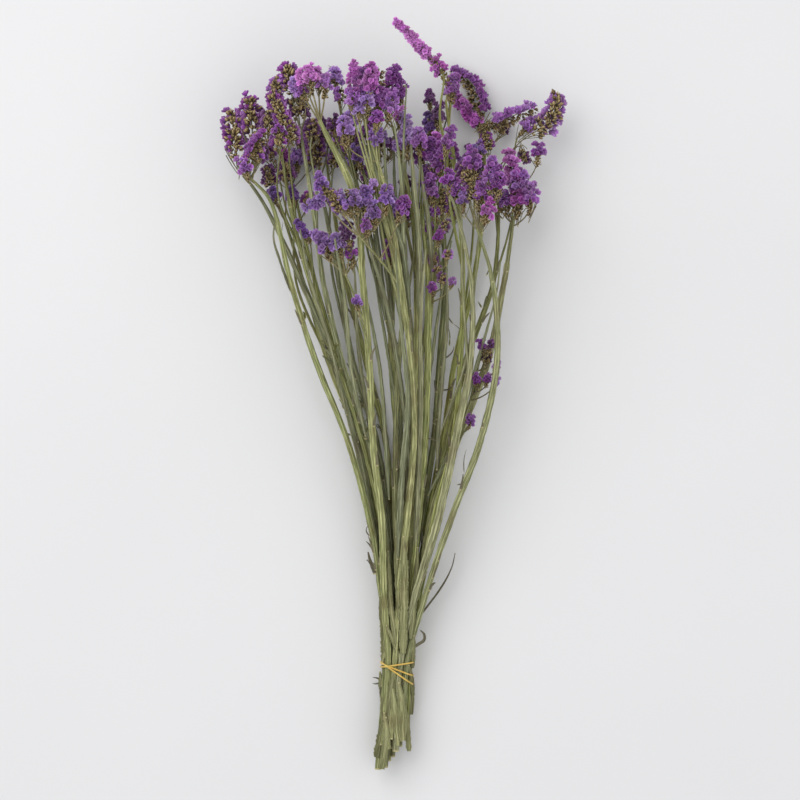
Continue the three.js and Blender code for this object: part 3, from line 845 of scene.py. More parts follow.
def ridged_stalk_tree() -> Sheet:
    """Draw the tree that grows a ridged, slightly flat stalk on each spine.

    Returns:
        The tree, with inputs for the stalk's sizes.
    """
    sheet = Sheet(
        "ridged_stalks", Step=0.003, Sides=16, Ridges=5.0, Ridge_depth=0.26, Flatness=0.66, Wander=0.0004,
        Twist=18.0, Fray=0.1, Fray_grain=300.0, Material="Material",
    )
    inputs, maths, place = sheet.inputs, sheet.maths, sheet.place
    curve = sheet.then("MeshToCurve", inputs["Geometry"])
    even = sheet.then("ResampleCurve", curve, mode="LENGTH", Length=inputs["Step"])
    moved = sheet.then("SetPosition", even, Offset=sheet.strayed(WANDER_GRAIN, inputs["Wander"]))
    level = sheet.then("SetCurveNormal", moved, mode="Z_UP")
    along = sheet.node("GeometryNodeSplineParameter").outputs["Length"]
    tone = sheet.node("ShaderNodeSeparateXYZ", sheet.named("tint", "FLOAT_VECTOR")).outputs
    rate = maths("MULTIPLY", inputs["Twist"], maths("ADD", tone["Y"], -0.5))
    start_turn = maths("MULTIPLY", maths("MULTIPLY", tone["Z"], inputs["Twist"]), START_TURN)
    tilt = maths("MULTIPLY_ADD", along, rate, start_turn)
    marked = sheet.store(sheet.then("SetCurveTilt", level, Tilt=tilt), "along", along)

    circle = sheet.node("GeometryNodeCurvePrimitiveCircle", Resolution=inputs["Sides"], Radius=1.0)
    rim = sheet.store(circle.outputs["Curve"], "around", place, "FLOAT_VECTOR")
    turn = sheet.node("ShaderNodeSeparateXYZ", place).outputs
    angle = maths("ARCTAN2", turn["Y"], turn["X"])
    half = maths("MULTIPLY", inputs["Ridges"], 0.5)
    valley = maths("ABSOLUTE", maths("SINE", maths("MULTIPLY", angle, half)))
    # The valley attribute marks the furrows, where the stem finish paints shade
    furrowed = sheet.store(rim, "valley", valley)
    inset = maths("SUBTRACT", 1.0, maths("MULTIPLY", valley, inputs["Ridge depth"]))
    squash = sheet.node("ShaderNodeCombineXYZ", 1.0, inputs["Flatness"], 1.0).outputs[0]
    section = sheet.vectors("MULTIPLY", sheet.scaled(place, inset), squash)
    ridged = sheet.then("SetPosition", furrowed, Position=section)

    ragged = sheet.noise(place, inputs["Fray grain"])
    stray = maths("MULTIPLY", maths("SUBTRACT", ragged, 0.5), inputs["Fray"])
    width = maths("MULTIPLY", sheet.named("girth"), maths("MULTIPLY_ADD", stray, FRAY_GAIN, 1.0))
    tube = sheet.then("CurveToMesh", marked, Profile_Curve=ridged, Scale=width, Fill_Caps=True)
    sheet.hand_out(sheet.then("RealizeInstances", sheet.then("SetShadeSmooth", tube)), place)
    return sheet


def two_rank_tree() -> Sheet:
    """Draw the tree that sets a small shape in two ranks along each spine.

    Returns:
        The tree, with inputs for how the ranks stand.
    """
    sheet = Sheet(
        "two_ranks", Shape="Object", Spacing=0.34, Splay=0.9, Rise=0.75, Lean=0.4, Crown=1.0, Fan=0.75,
        Scatter=0.25, Stand_off=0.42, Lumps=0.35, Crumple=0.0006, Nearest=0.5, Growth=0.45, Smallest=0.0027,
        Seed=0, Material="Material",
    )
    inputs, maths, vectors, scaled = sheet.inputs, sheet.maths, sheet.vectors, sheet.scaled
    girth = sheet.named("girth")
    facing = sheet.named("facing", "FLOAT_VECTOR")
    curve = sheet.then("MeshToCurve", inputs["Geometry"])
    gap = maths("MULTIPLY_ADD", girth, inputs["Spacing"], LEAST_GAP)
    even = sheet.then("ResampleCurve", curve, mode="LENGTH", Length=gap)
    dots = sheet.node("GeometryNodeCurveToPoints", mode="EVALUATED", Curve=even)
    tangent = dots.outputs["Tangent"]
    count = sheet.node("GeometryNodeInputIndex").outputs[0]
    ranked = maths("MULTIPLY_ADD", maths("MODULO", count, 2.0), 2.0, -1.0)
    fanned = maths("SINE", maths("MULTIPLY", count, FAN_TURN))
    rank = maths("MULTIPLY_ADD", maths("SUBTRACT", fanned, ranked), inputs["Fan"], ranked)

    def chance(low: object, high: object, kind: str, offset: int) -> Socket:
        """Give a random field between two values, from the tree's own seed."""
        made = sheet.node("FunctionNodeRandomValue", data_type=kind)
        ends = (socket for socket in made.inputs if socket.enabled and socket.name in ("Min", "Max"))
        for socket, value in zip(ends, (low, high)):
            sheet.feed(socket, value)
        sheet.feed(made.inputs["Seed"], maths("ADD", inputs["Seed"], float(offset)))
        return next(socket for socket in made.outputs if socket.enabled)

    side = vectors("NORMALIZE", vectors("CROSS_PRODUCT", tangent, facing))
    lean = maths("MULTIPLY_ADD", sheet.named("crown"), inputs["Crown"], inputs["Lean"])
    outward = scaled(scaled(side, rank), inputs["Splay"])
    upward = scaled(facing, inputs["Rise"])
    forward = scaled(tangent, lean)
    stray = scaled(chance((-1.0, -1.0, -1.0), (1.0, 1.0, 1.0), "FLOAT_VECTOR", 1), inputs["Scatter"])
    aim = vectors("ADD", vectors("ADD", outward, upward), vectors("ADD", forward, stray))
    heading = vectors("NORMALIZE", aim)
    twirl = chance((-1.0, -1.0, -1.0), (1.0, 1.0, 1.0), "FLOAT_VECTOR", 2)
    hint = vectors("ADD", vectors("CROSS_PRODUCT", heading, side), scaled(twirl, TWIRL))
    rotation = sheet.node("FunctionNodeAxesToRotation", heading, hint, primary_axis="Z", secondary_axis="X")
    lump = sheet.noise(vectors("ADD", sheet.place, scaled(heading, LUMP_REACH)), LUMP_GRAIN)
    swell = maths("MULTIPLY", maths("SUBTRACT", lump, 0.5), inputs["Lumps"])
    near = chance(inputs["Nearest"], FARTHEST, "FLOAT", 5)
    spread = maths("MULTIPLY", maths("MULTIPLY_ADD", swell, NOISE_GAIN, 1.0), near)
    away = maths("MULTIPLY", inputs["Stand off"], spread)
    offset = scaled(scaled(heading, girth), away)
    step = sheet.then("SetPosition", dots.outputs["Points"], Offset=offset)
    shape = sheet.node("GeometryNodeObjectInfo", inputs["Shape"], True).outputs["Geometry"]
    grown = maths("MULTIPLY_ADD", girth, inputs["Growth"], inputs["Smallest"])
    size = maths("MULTIPLY", grown, chance(*SIZES, "FLOAT", 3))
    turned = rotation.outputs[0]
    placed = sheet.then("InstanceOnPoints", step, Instance=shape, Rotation=turned, Scale=size)
    marked = sheet.store(placed, "shade", chance(0.0, 1.0, "FLOAT", 4), domain="INSTANCE")
    real = sheet.then("RealizeInstances", marked)
    bent = sheet.strayed(CRUMPLE_GRAIN, inputs["Crumple"])
    sheet.hand_out(real, vectors("MULTIPLY_ADD", bent, (NOISE_GAIN,) * 3, sheet.place))
    return sheet


@dataclass(frozen=True)
class Shape:
    """A small shape that the two-rank tree repeats, in units of a spike's girth.

    Attributes:
        rings: Height, radius and ruffle of each ring of its surface, from the foot on.
        lobes: Number of ruffles round it.
        name: Name of the object.
        ripple: How much more its ruffles rise and fall than they swell.
        rim_height: Height at which its rim starts.
        rim_radius: Radius at which its rim starts.
        throat: How far out its middle counts, as a share of the rim.
    """

    rings: tuple[Triple, ...]
    lobes: int
    name: str
    ripple: float = 1.5
    rim_height: float = 0.8
    rim_radius: float = 0.58
    throat: float = 0.35

    def stand(self) -> bpy.types.Object:
        """Build a hidden object of the shape, which carries how far out each point lies as reach."""
        sides = 2 * self.lobes
        points = []
        reach = []
        for height, radius, ruffle in self.rings:
            for i in range(sides):
                angle = 2 * math.pi * i / sides
                side = 1 if i % 2 else -1
                swell = 1 + ruffle * side
                level = height * (1 - self.ripple * ruffle * side)
                points.append((radius * swell * math.cos(angle), radius * swell * math.sin(angle), level))
                # Reach is lowest in the middle: the calyx finish darkens low reach as painted shade and
                # paints a pale rim, partly highlight, at full reach
                out = self.throat + (1 - self.throat) * min(1.0, radius / self.rim_radius)
                reach.append(min(1.0, height / self.rim_height) * out)
        faces = [tuple(reversed(range(sides)))]
        for ring in range(len(self.rings) - 1):
            for i in range(sides):
                j = (i + 1) % sides
                low, high = ring * sides, (ring + 1) * sides
                faces.append((low + i, low + j, high + j, high + i))
        last = (len(self.rings) - 1) * sides
        faces.append(tuple(last + i for i in range(sides)))
        return hidden(self.name, points, faces, reach, False)


def hidden(name: str, points: list, faces: list, reach: list[float], smooth: bool) -> bpy.types.Object:
    """Make an object that only serves to be repeated.

    Args:
        name: Its name.
        points: Its vertices.
        faces: Its faces.
        reach: How far out each vertex lies, from 0 to 1.
        smooth: False where its folds stay sharp.

    Returns:
        The object, outside the scene's collection.
    """
    mesh = bpy.data.meshes.new(name)
    mesh.from_pydata(points, [], faces)
    mesh.attributes.new("reach", "FLOAT", "POINT").data.foreach_set("value", reach)
    for polygon in mesh.polygons:
        polygon.use_smooth = smooth
    return bpy.data.objects.new(name, mesh)


CALYX = Shape(((0.0, 0.12, 0.0), (0.78, 0.6, 0.12), (0.44, 0.16, 0.0)), 5, "calyx_shape")


def bract_cluster() -> bpy.types.Object:
    """Build the group of three pointed bracts that holds a calyx.

    Returns:
        The hidden object.
    """
    points: list[Triple] = []
    faces: list[tuple[int, ...]] = []
    reach: list[float] = []
    scales = ((0.0, 0.84, 0.2, 0.16), (2.2, 0.7, 0.18, 0.3), (-2.2, 0.64, 0.18, 0.32))
    heel, fold, bend = 0.05, 0.08, 2.6
    for turn, length, width, tilt in scales:
        first = len(points)
        away = Vector((math.cos(turn), math.sin(turn), 0.0))
        across = Vector((-math.sin(turn), math.cos(turn), 0.0))
        for share, wide in ((0.0, 0.6), (0.5, 1.0), (1.0, 0.2)):
            middle = UP * length * share + away * (heel + tilt * math.sin(share * bend))
            points += [
                tuple(middle - across * width * wide - away * fold * wide),
                tuple(middle + away * fold * wide),
                tuple(middle + across * width * wide - away * fold * wide),
                tuple(middle - away * heel * wide),
            ]
            # Reach runs from foot to point; the bract finish pales with it, partly as painted highlight and
            # painted shade
            reach += [share] * 4
        for ring in range(2):
            for i in range(4):
                j = (i + 1) % 4
                low, high = first + ring * 4, first + ring * 4 + 4
                faces.append((low + i, low + j, high + j, high + i))
        faces.append((first + 8, first + 9, first + 10, first + 11))
        faces.append((first + 3, first + 2, first + 1, first))
    return hidden("bract_shape", points, faces, reach, True)


class Dye(Nodes):
    """A material under construction, with its shader and coordinates."""

    def __init__(self, name: str) -> None:
        """Start a material with a plain shader, under a name."""
        self.material = bpy.data.materials.new(name)
        self.material.use_nodes = True
        super().__init__(self.material.node_tree)
        self.shader = self.tree.nodes["Principled BSDF"]
        self.place = self.node("ShaderNodeTexCoord").outputs["Object"]

    def finish(self, **settings: object) -> None:
        """Set or link the shader's inputs by name."""
        for title, value in settings.items():
            self.feed(self.shader.inputs[title.replace("_", " ")], value)

    def attribute(self, title: str, output: str = "Fac") -> Socket:
        """Read one of the mesh's attributes and return that output."""
        return self.node("ShaderNodeAttribute", attribute_name=title).outputs[output]

    def mix(self, share: object, first: object, second: object, blend: str = "MIX") -> Socket:
        """Mix two colours.

        Args:
            share: How much of the second colour.
            first: First colour.
            second: Second colour.
            blend: The way they mix.

        Returns:
            The colour.
        """
        made = self.node("ShaderNodeMix", data_type="RGBA", blend_type=blend)
        for socket, value in zip((made.inputs[0], made.inputs[6], made.inputs[7]), (share, first, second)):
            self.feed(socket, (*value, 1.0) if isinstance(value, tuple) else value)
        return made.outputs[2]

    def ramp(
        self, share: Socket, low: float, high: float, start: float = 0.0, end: float = 1.0
    ) -> Socket:
        """Stretch a number from one range to another, without leaving it.

        Args:
            share: The number.
            low: Its value at the start.
            high: Its value at the end.
            start: The result at the start.
            end: The result at the end.

        Returns:
            The result.
        """
        settings = {"Value": share, "From_Min": low, "From_Max": high, "To_Min": start, "To_Max": end}
        return self.node("ShaderNodeMapRange", clamp=True, **settings).outputs["Result"]

    def noise(self, vector: Socket, scale: float, detail: float = 3.0) -> Socket:
        """Give a noise number on a coordinate, with waves in one unit and octaves."""
        return self.node("ShaderNodeTexNoise", Vector=vector, Scale=scale, Detail=detail).outputs[0]

    def varied(self, colour: Socket, **shares: Socket) -> Socket:
        """Change a colour's Hue, Saturation and Value."""
        return self.node("ShaderNodeHueSaturation", Color=colour, **shares).outputs[0]

    def bump(self, height: Socket, strength: float, distance: float) -> None:
        """Raise the surface a little.

        Args:
            height: Height field.
            strength: Share of the effect.
            distance: Height in metres.
        """
        made = self.node("ShaderNodeBump", Height=height, Strength=strength, Distance=distance)
        self.finish(Normal=made.outputs["Normal"])


@dataclass(frozen=True)
class PaperyCalyx:
    """Dry papery calyx: its tint, with painted shade in the throat and a pale ruffled edge that is partly its
    own paler rim and partly a painted highlight.
    """

    # How dark the painted shade in each calyx's throat is, as a share of its tint
    throat: float = 0.4
    # Pale rim colour: partly the calyx's own paler edge, partly a painted highlight
    edge: Triple = linear(222, 186, 226)
    edge_share: float = 0.35
    blotches: float = 140.0
    fading: float = 60.0
    grain: float = 1400.0
    hues: Pair = (0.482, 0.515)
    strengths: Pair = (0.85, 1.15)
    lights: Pair = (1.18, 0.82)
    roughness: float = 0.85
    specular: float = 0.25

    def dye(self) -> bpy.types.Material:
        """Build the material."""
        dye = Dye("papery_calyx")
        tint = dye.attribute("tint", "Color")
        reach = dye.attribute("reach")
        shade = dye.attribute("shade")
        # Painted shade: the tint darkened towards the throat, where reach is low
        depth = dye.mix(1.0, tint, (self.throat,) * 3, "MULTIPLY")
        body = dye.mix(dye.ramp(reach, 0.15, 0.8), depth, tint)
        # Pale rim at the highest reach: partly the calyx's own paler edge, partly a painted highlight
        pale_rim_and_highlight = dye.mix(dye.ramp(reach, 0.75, 1.0, 0.0, self.edge_share), body, self.edge)
        blotch = dye.ramp(dye.noise(dye.place, self.blotches), 0.3, 0.7, 0.75, 1.2)
        varied = dye.varied(
            pale_rim_and_highlight,
            Hue=dye.ramp(shade, 0.0, 1.0, *self.hues),
            Saturation=dye.ramp(dye.noise(dye.place, self.fading), 0.3, 0.7, *self.strengths),
            Value=dye.maths("MULTIPLY", blotch, dye.ramp(shade, 0.0, 1.0, *self.lights)),
        )
        dye.finish(Base_Color=varied, Roughness=self.roughness, Specular_IOR_Level=self.specular)
        dye.bump(dye.noise(dye.place, self.grain, 2.0), 0.5, 0.0004)
        return dye.material


@dataclass(frozen=True)
class DryBract:
    """Dry scale: brown at its foot, tan towards its point; the dark foot is partly painted shade and the tan
    point partly a painted highlight.
    """

    # Brown foot, partly a painted shade, also used for the stains; olive body; tan point, partly a painted
    # highlight
    foot: Triple = linear(66, 50, 38)
    olive: Triple = linear(132, 112, 70)
    point: Triple = linear(206, 184, 134)
    stains: float = 420.0
    grain: float = 1800.0
    roughness: float = 0.8
    specular: float = 0.25

    def dye(self) -> bpy.types.Material:
        """Build the material."""
        dye = Dye("dry_bract")
        body = dye.mix(dye.ramp(dye.attribute("shade"), 0.2, 0.9), self.foot, self.olive)
        # Paler towards the point and darker towards the foot: partly the bract's own colour, partly painted
        # highlight and painted shade
        pointed = dye.mix(dye.ramp(dye.attribute("reach"), 0.25, 1.0), body, self.point)
        stain = dye.ramp(dye.noise(dye.place, self.stains), 0.45, 0.7, 0.0, 0.8)
        stained = dye.mix(stain, pointed, self.foot)
        dye.finish(Base_Color=stained, Roughness=self.roughness, Specular_IOR_Level=self.specular)
        dye.bump(dye.noise(dye.place, self.grain, 2.0), 0.4, 0.0003)
        return dye.material


@dataclass(frozen=True)
class DryStem:
    """Dry ridged stem: sage to olive in streaks, with painted shade in its furrows, pale where it is cut."""

    name: str
    light: Triple
    dark: Triple
    stain: Triple = linear(96, 76, 48)
    cut: Triple = linear(196, 184, 138)
    cut_reach: Pair = (0.0004, 0.0016)
    streaks: float = 7.0
    stretch: float = 9.0
    blotches: float = 40.0
    hues: Pair = (0.485, 0.512)
    strengths: Pair = (0.75, 1.15)
    lights: Pair = (0.72, 1.2)
    roughness: float = 0.7
    specular: float = 0.3

    def dye(self) -> bpy.types.Material:
        """Build the material."""
        dye = Dye(self.name)
        tone = dye.node("ShaderNodeSeparateXYZ", Vector=dye.attribute("tint", "Vector")).outputs
        along = dye.attribute("along")
        length = dye.maths("MULTIPLY", along, self.stretch)
        far = dye.node("ShaderNodeCombineXYZ", X=length, Z=length).outputs[0]
        streak = dye.noise(dye.vectors("ADD", dye.attribute("around", "Vector"), far), self.streaks, 5.0)
        blotch = dye.noise(dye.place, self.blotches, 4.0)
        body = dye.mix(dye.ramp(streak, 0.4, 0.6), self.dark, self.light)
        # Painted shade: the dark colour laid into the furrows along the valley attribute
        furrowed = dye.mix(dye.ramp(dye.attribute("valley"), 0.3, 1.0, 0.0, 0.6), body, self.dark)
        stained = dye.mix(dye.ramp(blotch, 0.52, 0.72, 0.0, 0.5), furrowed, self.stain)
        # Darker by up to 15% over the first 0.2 m of each stalk
        tone_shift = dye.ramp(along, 0.0, 0.2, 0.85, 1.0)
        varied = dye.varied(
            stained,
            Hue=dye.ramp(tone["Y"], 0.0, 1.0, *self.hues),
            Saturation=dye.ramp(tone["Z"], 0.0, 1.0, *self.strengths),
            Value=dye.maths("MULTIPLY", dye.ramp(tone["X"], 0.0, 1.0, *self.lights), tone_shift),
        )
        ended = dye.mix(dye.ramp(along, *self.cut_reach, 0.85, 0.0), varied, self.cut)
        dye.finish(Base_Color=ended, Roughness=self.roughness, Specular_IOR_Level=self.specular)
        dye.bump(streak, 0.7, 0.0005)
        return dye.material


@dataclass(frozen=True)
class RubberFinish:
    """Yellow rubber, a little see-through and slightly shiny."""

    light: Triple = linear(216, 186, 98)
    dark: Triple = linear(194, 156, 70)
    grain: float = 260.0
    glow: float = 0.15
    glow_depth: float = 0.001
    roughness: float = 0.38

    def dye(self) -> bpy.types.Material:
        """Build the material."""
        dye = Dye("yellow_rubber")
        tone_shift = dye.noise(dye.place, self.grain)
        dye.finish(
            Base_Color=dye.mix(dye.ramp(tone_shift, 0.35, 0.65), self.dark, self.light),
            Roughness=self.roughness,
            Subsurface_Weight=self.glow,
            Subsurface_Scale=self.glow_depth,
        )
        dye.bump(tone_shift, 0.2, 0.0002)
        return dye.material


def piece_of(name: str, meshes: list[bpy.types.Mesh]) -> bpy.types.Object:
    """Join meshes into one piece.

    Args:
        name: Name of the piece.
        meshes: The meshes, each with its material.

    Returns:
        The piece, at the origin.
    """
    parts = []
    for mesh in meshes:
        part = bpy.data.objects.new(name, mesh)
        bpy.context.scene.collection.objects.link(part)
        parts.append(part)
    if len(parts) > 1:
        with bpy.context.temp_override(active_object=parts[0], selected_editable_objects=parts):
            bpy.ops.object.join()
    parts[0].name = name
    parts[0].data.name = name
    return parts[0]


@dataclass(frozen=True)
class Section:
    """The section of a kind of stalk, and how it runs.

    Attributes:
        sides: Sides of the section.
        ridges: Ridges round it.
        step: Distance between its rings.
        ridge_depth: Depth of its furrows, as a share of its girth.
        flatness: Thickness as a share of its width.
        twist: Radians in a metre.
        fray: How much its width changes on the way.
        wander: How far it strays from its line.
        fray_grain: Changes of its width in a metre.
    """

    sides: int
    ridges: float
    step: float
    ridge_depth: float
    flatness: float
    twist: float
    fray: float
    wander: float
    fray_grain: float = 300.0


WINGED = Section(20, 5.0, 4.0, 0.26, 0.76, 18.0, 0.14, 1.0)
THIN = Section(8, 3.0, 3.0, 0.22, 0.75, 18.0, 0.12, 0.6)
FLUTED = Section(14, 4.0, 3.0, 0.26, 0.6, 10.0, 0.2, 1.0)
BLADE = Section(8, 2.0, 1.2, 0.1, 0.3, 30.0, 0.2, 0.3)
SHEATH = Section(12, 4.0, 0.9, 0.25, 0.2, 0.0, 0.3, 0.5, 800.0)


def tree_values(facts: object, lengths: tuple[str, ...]) -> dict[str, object]:
    """Give the values of a dataclass by the names of a tree's inputs.

    Args:
        facts: The dataclass.
        lengths: Its fields that are lengths, which are turned from millimetres into metres.

    Returns:
        The values by name.
    """
    return {
        title.replace("_", " ").capitalize(): value * MM if title in lengths else value
        for title, value in vars(facts).items()
    }


@dataclass
class Workshop:
    """The trees, shapes and finishes that every piece shares."""

    stalks: Sheet = field(default_factory=ridged_stalk_tree)
    ranks: Sheet = field(default_factory=two_rank_tree)
    calyx: bpy.types.Object = field(default_factory=CALYX.stand)
    bract: bpy.types.Object = field(default_factory=bract_cluster)
    papery: bpy.types.Material = field(default_factory=PaperyCalyx().dye)
    dry: bpy.types.Material = field(default_factory=DryBract().dye)
    skin: bpy.types.Material = field(
        default_factory=DryStem("dry_stem", linear(192, 193, 136), linear(92, 96, 54)).dye
    )
    twig: bpy.types.Material = field(
        default_factory=DryStem("dry_stalk", linear(168, 158, 116), linear(92, 86, 54)).dye
    )
    husk: bpy.types.Material = field(
        default_factory=DryStem("torn_sheath", linear(186, 184, 132), linear(100, 102, 62)).dye
    )

    def stalk(self, spines: Spines, section: Section, material: bpy.types.Material) -> bpy.types.Mesh:
        """Grow stalks on spines.

        Args:
            spines: The spines.
            section: The stalks' section.
            material: The finish.

        Returns:
            The mesh.
        """
        values = {**tree_values(section, ("step", "wander")), "Material": material}
        return self.stalks.grow(spines.stand("stalk_lines"), values)


def curl(start: Vector, angle: float, length: float, turn: float, rise: float = 0.0) -> list[Vector]:
    """Lay a wisp that bends more and more towards its end.

    Args:
        start: Its foot.
        angle: Heading at the foot, in degrees from +X.
        length: Its length.
        turn: How far it has turned at its end, in degrees.
        rise: How much it climbs on each millimetre.

    Returns:
        Its points.
    """
    steps = 12
    points = [start.copy()]
    for i in range(steps):
        heading = math.radians(angle + turn * (i / steps) ** 1.5)
        points.append(points[-1] + Vector((math.cos(heading), math.sin(heading), rise)) * length / steps)
    return points


def tapered(count: int, girth: float) -> list[float]:
    """Give girths that swell a little and then run out to a point.

    Args:
        count: How many.
        girth: The largest.

    Returns:
        The girths.
    """
    shares = [i / (count - 1) for i in range(count)]
    return [girth * (0.12 + 0.88 * (1 - share) ** 0.6 * min(1.0, 0.55 + 2 * share)) for share in shares]


@dataclass
class StemSheaf:
    """The stems, from their cut ends to the feet of their panicles."""

    shop: Workshop
    layering: Layering
    slimmest: float = 0.84
    widest: float = 1.22
    girths: Table = ((0, 2.6), (0.15, 2.6), (0.38, 3.1), (0.62, 3.0), (1, 2.6))
    joint_reach: int = 4
    leaves: int = 4
    leaf_girth: float = 1.3
    seed: int = 11
    tones: list[Triple] = field(default_factory=list)

    def build(self) -> list[Way]:
        """Grow each stem in the place of its solid, and give the ways of the stems."""
        chance = random.Random(self.seed)
        ways = [self.layering.way(stem) for stem in STEMS]
        for number, (stem, way) in enumerate(zip(STEMS, ways), 1):
            end = 1 - self.layering.stalk_length / way.length
            points = way.part(0, end)
            shares = [end * i / (len(points) - 1) for i in range(len(points))]
            tone = (chance.random(), chance.random(), chance.random())
            self.tones.append(tone)
            build = chance.uniform(self.slimmest, self.widest)
            spines = Spines()
            girths = []
            for share in shares:
                near = max(0.0, 1 - (1 - share / end) * self.joint_reach)
                girths.append((1 - near) * build * read(self.girths, share) + near * stem.joint)
            spines.add(points, girths, UP, tone)
            leaves = Spines()
            for _ in range(self.leaves):
                self.leaf(leaves, way, chance.uniform(0.2, 0.9) * end, chance)
            meshes = [self.shop.stalk(spines, WINGED, self.shop.skin)]
            meshes.append(self.shop.stalk(leaves, BLADE, self.shop.twig))
            piece = piece_of(f"ridged_stem_{number:02d}", meshes)
            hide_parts(f"stem_{number:02d}")
            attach(piece, "root")
        LOG.info("grew %d stems", len(ways))
        return ways

    def leaf(self, leaves: Spines, way: Way, share: float, chance: random.Random) -> None:
        """Put a small withered leaf on a stem.

        Args:
            leaves: Where it is added.
            way: The stem's way.
            share: Share of the stem's length.
            chance: The stem's own chance.
        """
        side = chance.choice((-1, 1))
        start = way.at(share)
        ahead = way.at(share + 0.01) - start
        start.x += side * 0.4 * self.layering.radius(share)
        start.z += 0.7 * self.layering.radius(share)
        angle = math.degrees(math.atan2(ahead.y, ahead.x)) - side * chance.uniform(2, 16)
        points = curl(start, angle, chance.uniform(7, 16), side * chance.uniform(-40, 30), 0.05)
        leaves.add(points, tapered(len(points), self.leaf_girth), UP, (chance.random(), 0.5, 0.0))


@dataclass(frozen=True)
class Habit:
    """How a small shape stands along a spike.

    Attributes:
        spacing: Distance to the next one, as a share of the spike's girth.
        splay: How far it heads sideways.
        rise: How far it heads to the side that the spike faces.
        lean: How far it heads along the spike.
        crown: How much more it leans at the tip.
        fan: 0 where all stand in two ranks, 1 where they spread evenly.
        scatter: How much its heading strays.
        stand_off: Its distance from the axis, as a share of the girth.
        nearest: Share of that distance of those that stand closest.
        crumple: Depth of its creases.
        growth: Its size for each millimetre of girth.
        smallest: Its size where the girth is nothing.
    """

    spacing: float = 0.034
    splay: float = 0.9
    rise: float = 0.75
    lean: float = 0.4
    crown: float = 1.0
    fan: float = 0.75
    scatter: float = 0.25
    stand_off: float = 0.66
    nearest: float = 0.5
    crumple: float = 0.6
    growth: float = 0.26
    smallest: float = 2.1


CALYX_HABITS = {
    Face.FRONT: Habit(spacing=0.03),
    Face.BACK: Habit(spacing=0.025, splay=1.3, fan=0.9, stand_off=0.7, nearest=0.3),
    Face.LEFT: Habit(spacing=0.03, stand_off=0.5, nearest=0.2),
}
BRACT_HABITS = {
    Face.FRONT: Habit(0.14, 0.9, -0.9, 0.6, 0.8, 0.8, 0.35, 0.36, 0.4, 0.2, 0.4, 2.5),
    Face.BACK: Habit(0.055, 1.0, -1.0, 0.5, 0.8, 0.7, 0.4, 0.54, 0.0, 0.3, 0.32, 2.5),
    Face.LEFT: Habit(0.05, 0.8, -1.0, 0.3, 0.3, 0.9, 0.5, 0.8, 0.0, 0.3, 0.3, 2.1),
}
SKIRT_HABIT = Habit(0.14, 0.7, 0.35, 0.6, 0.0, 0.8, 0.3, 0.34, 0.3, 0.2, 0.4, 2.4)


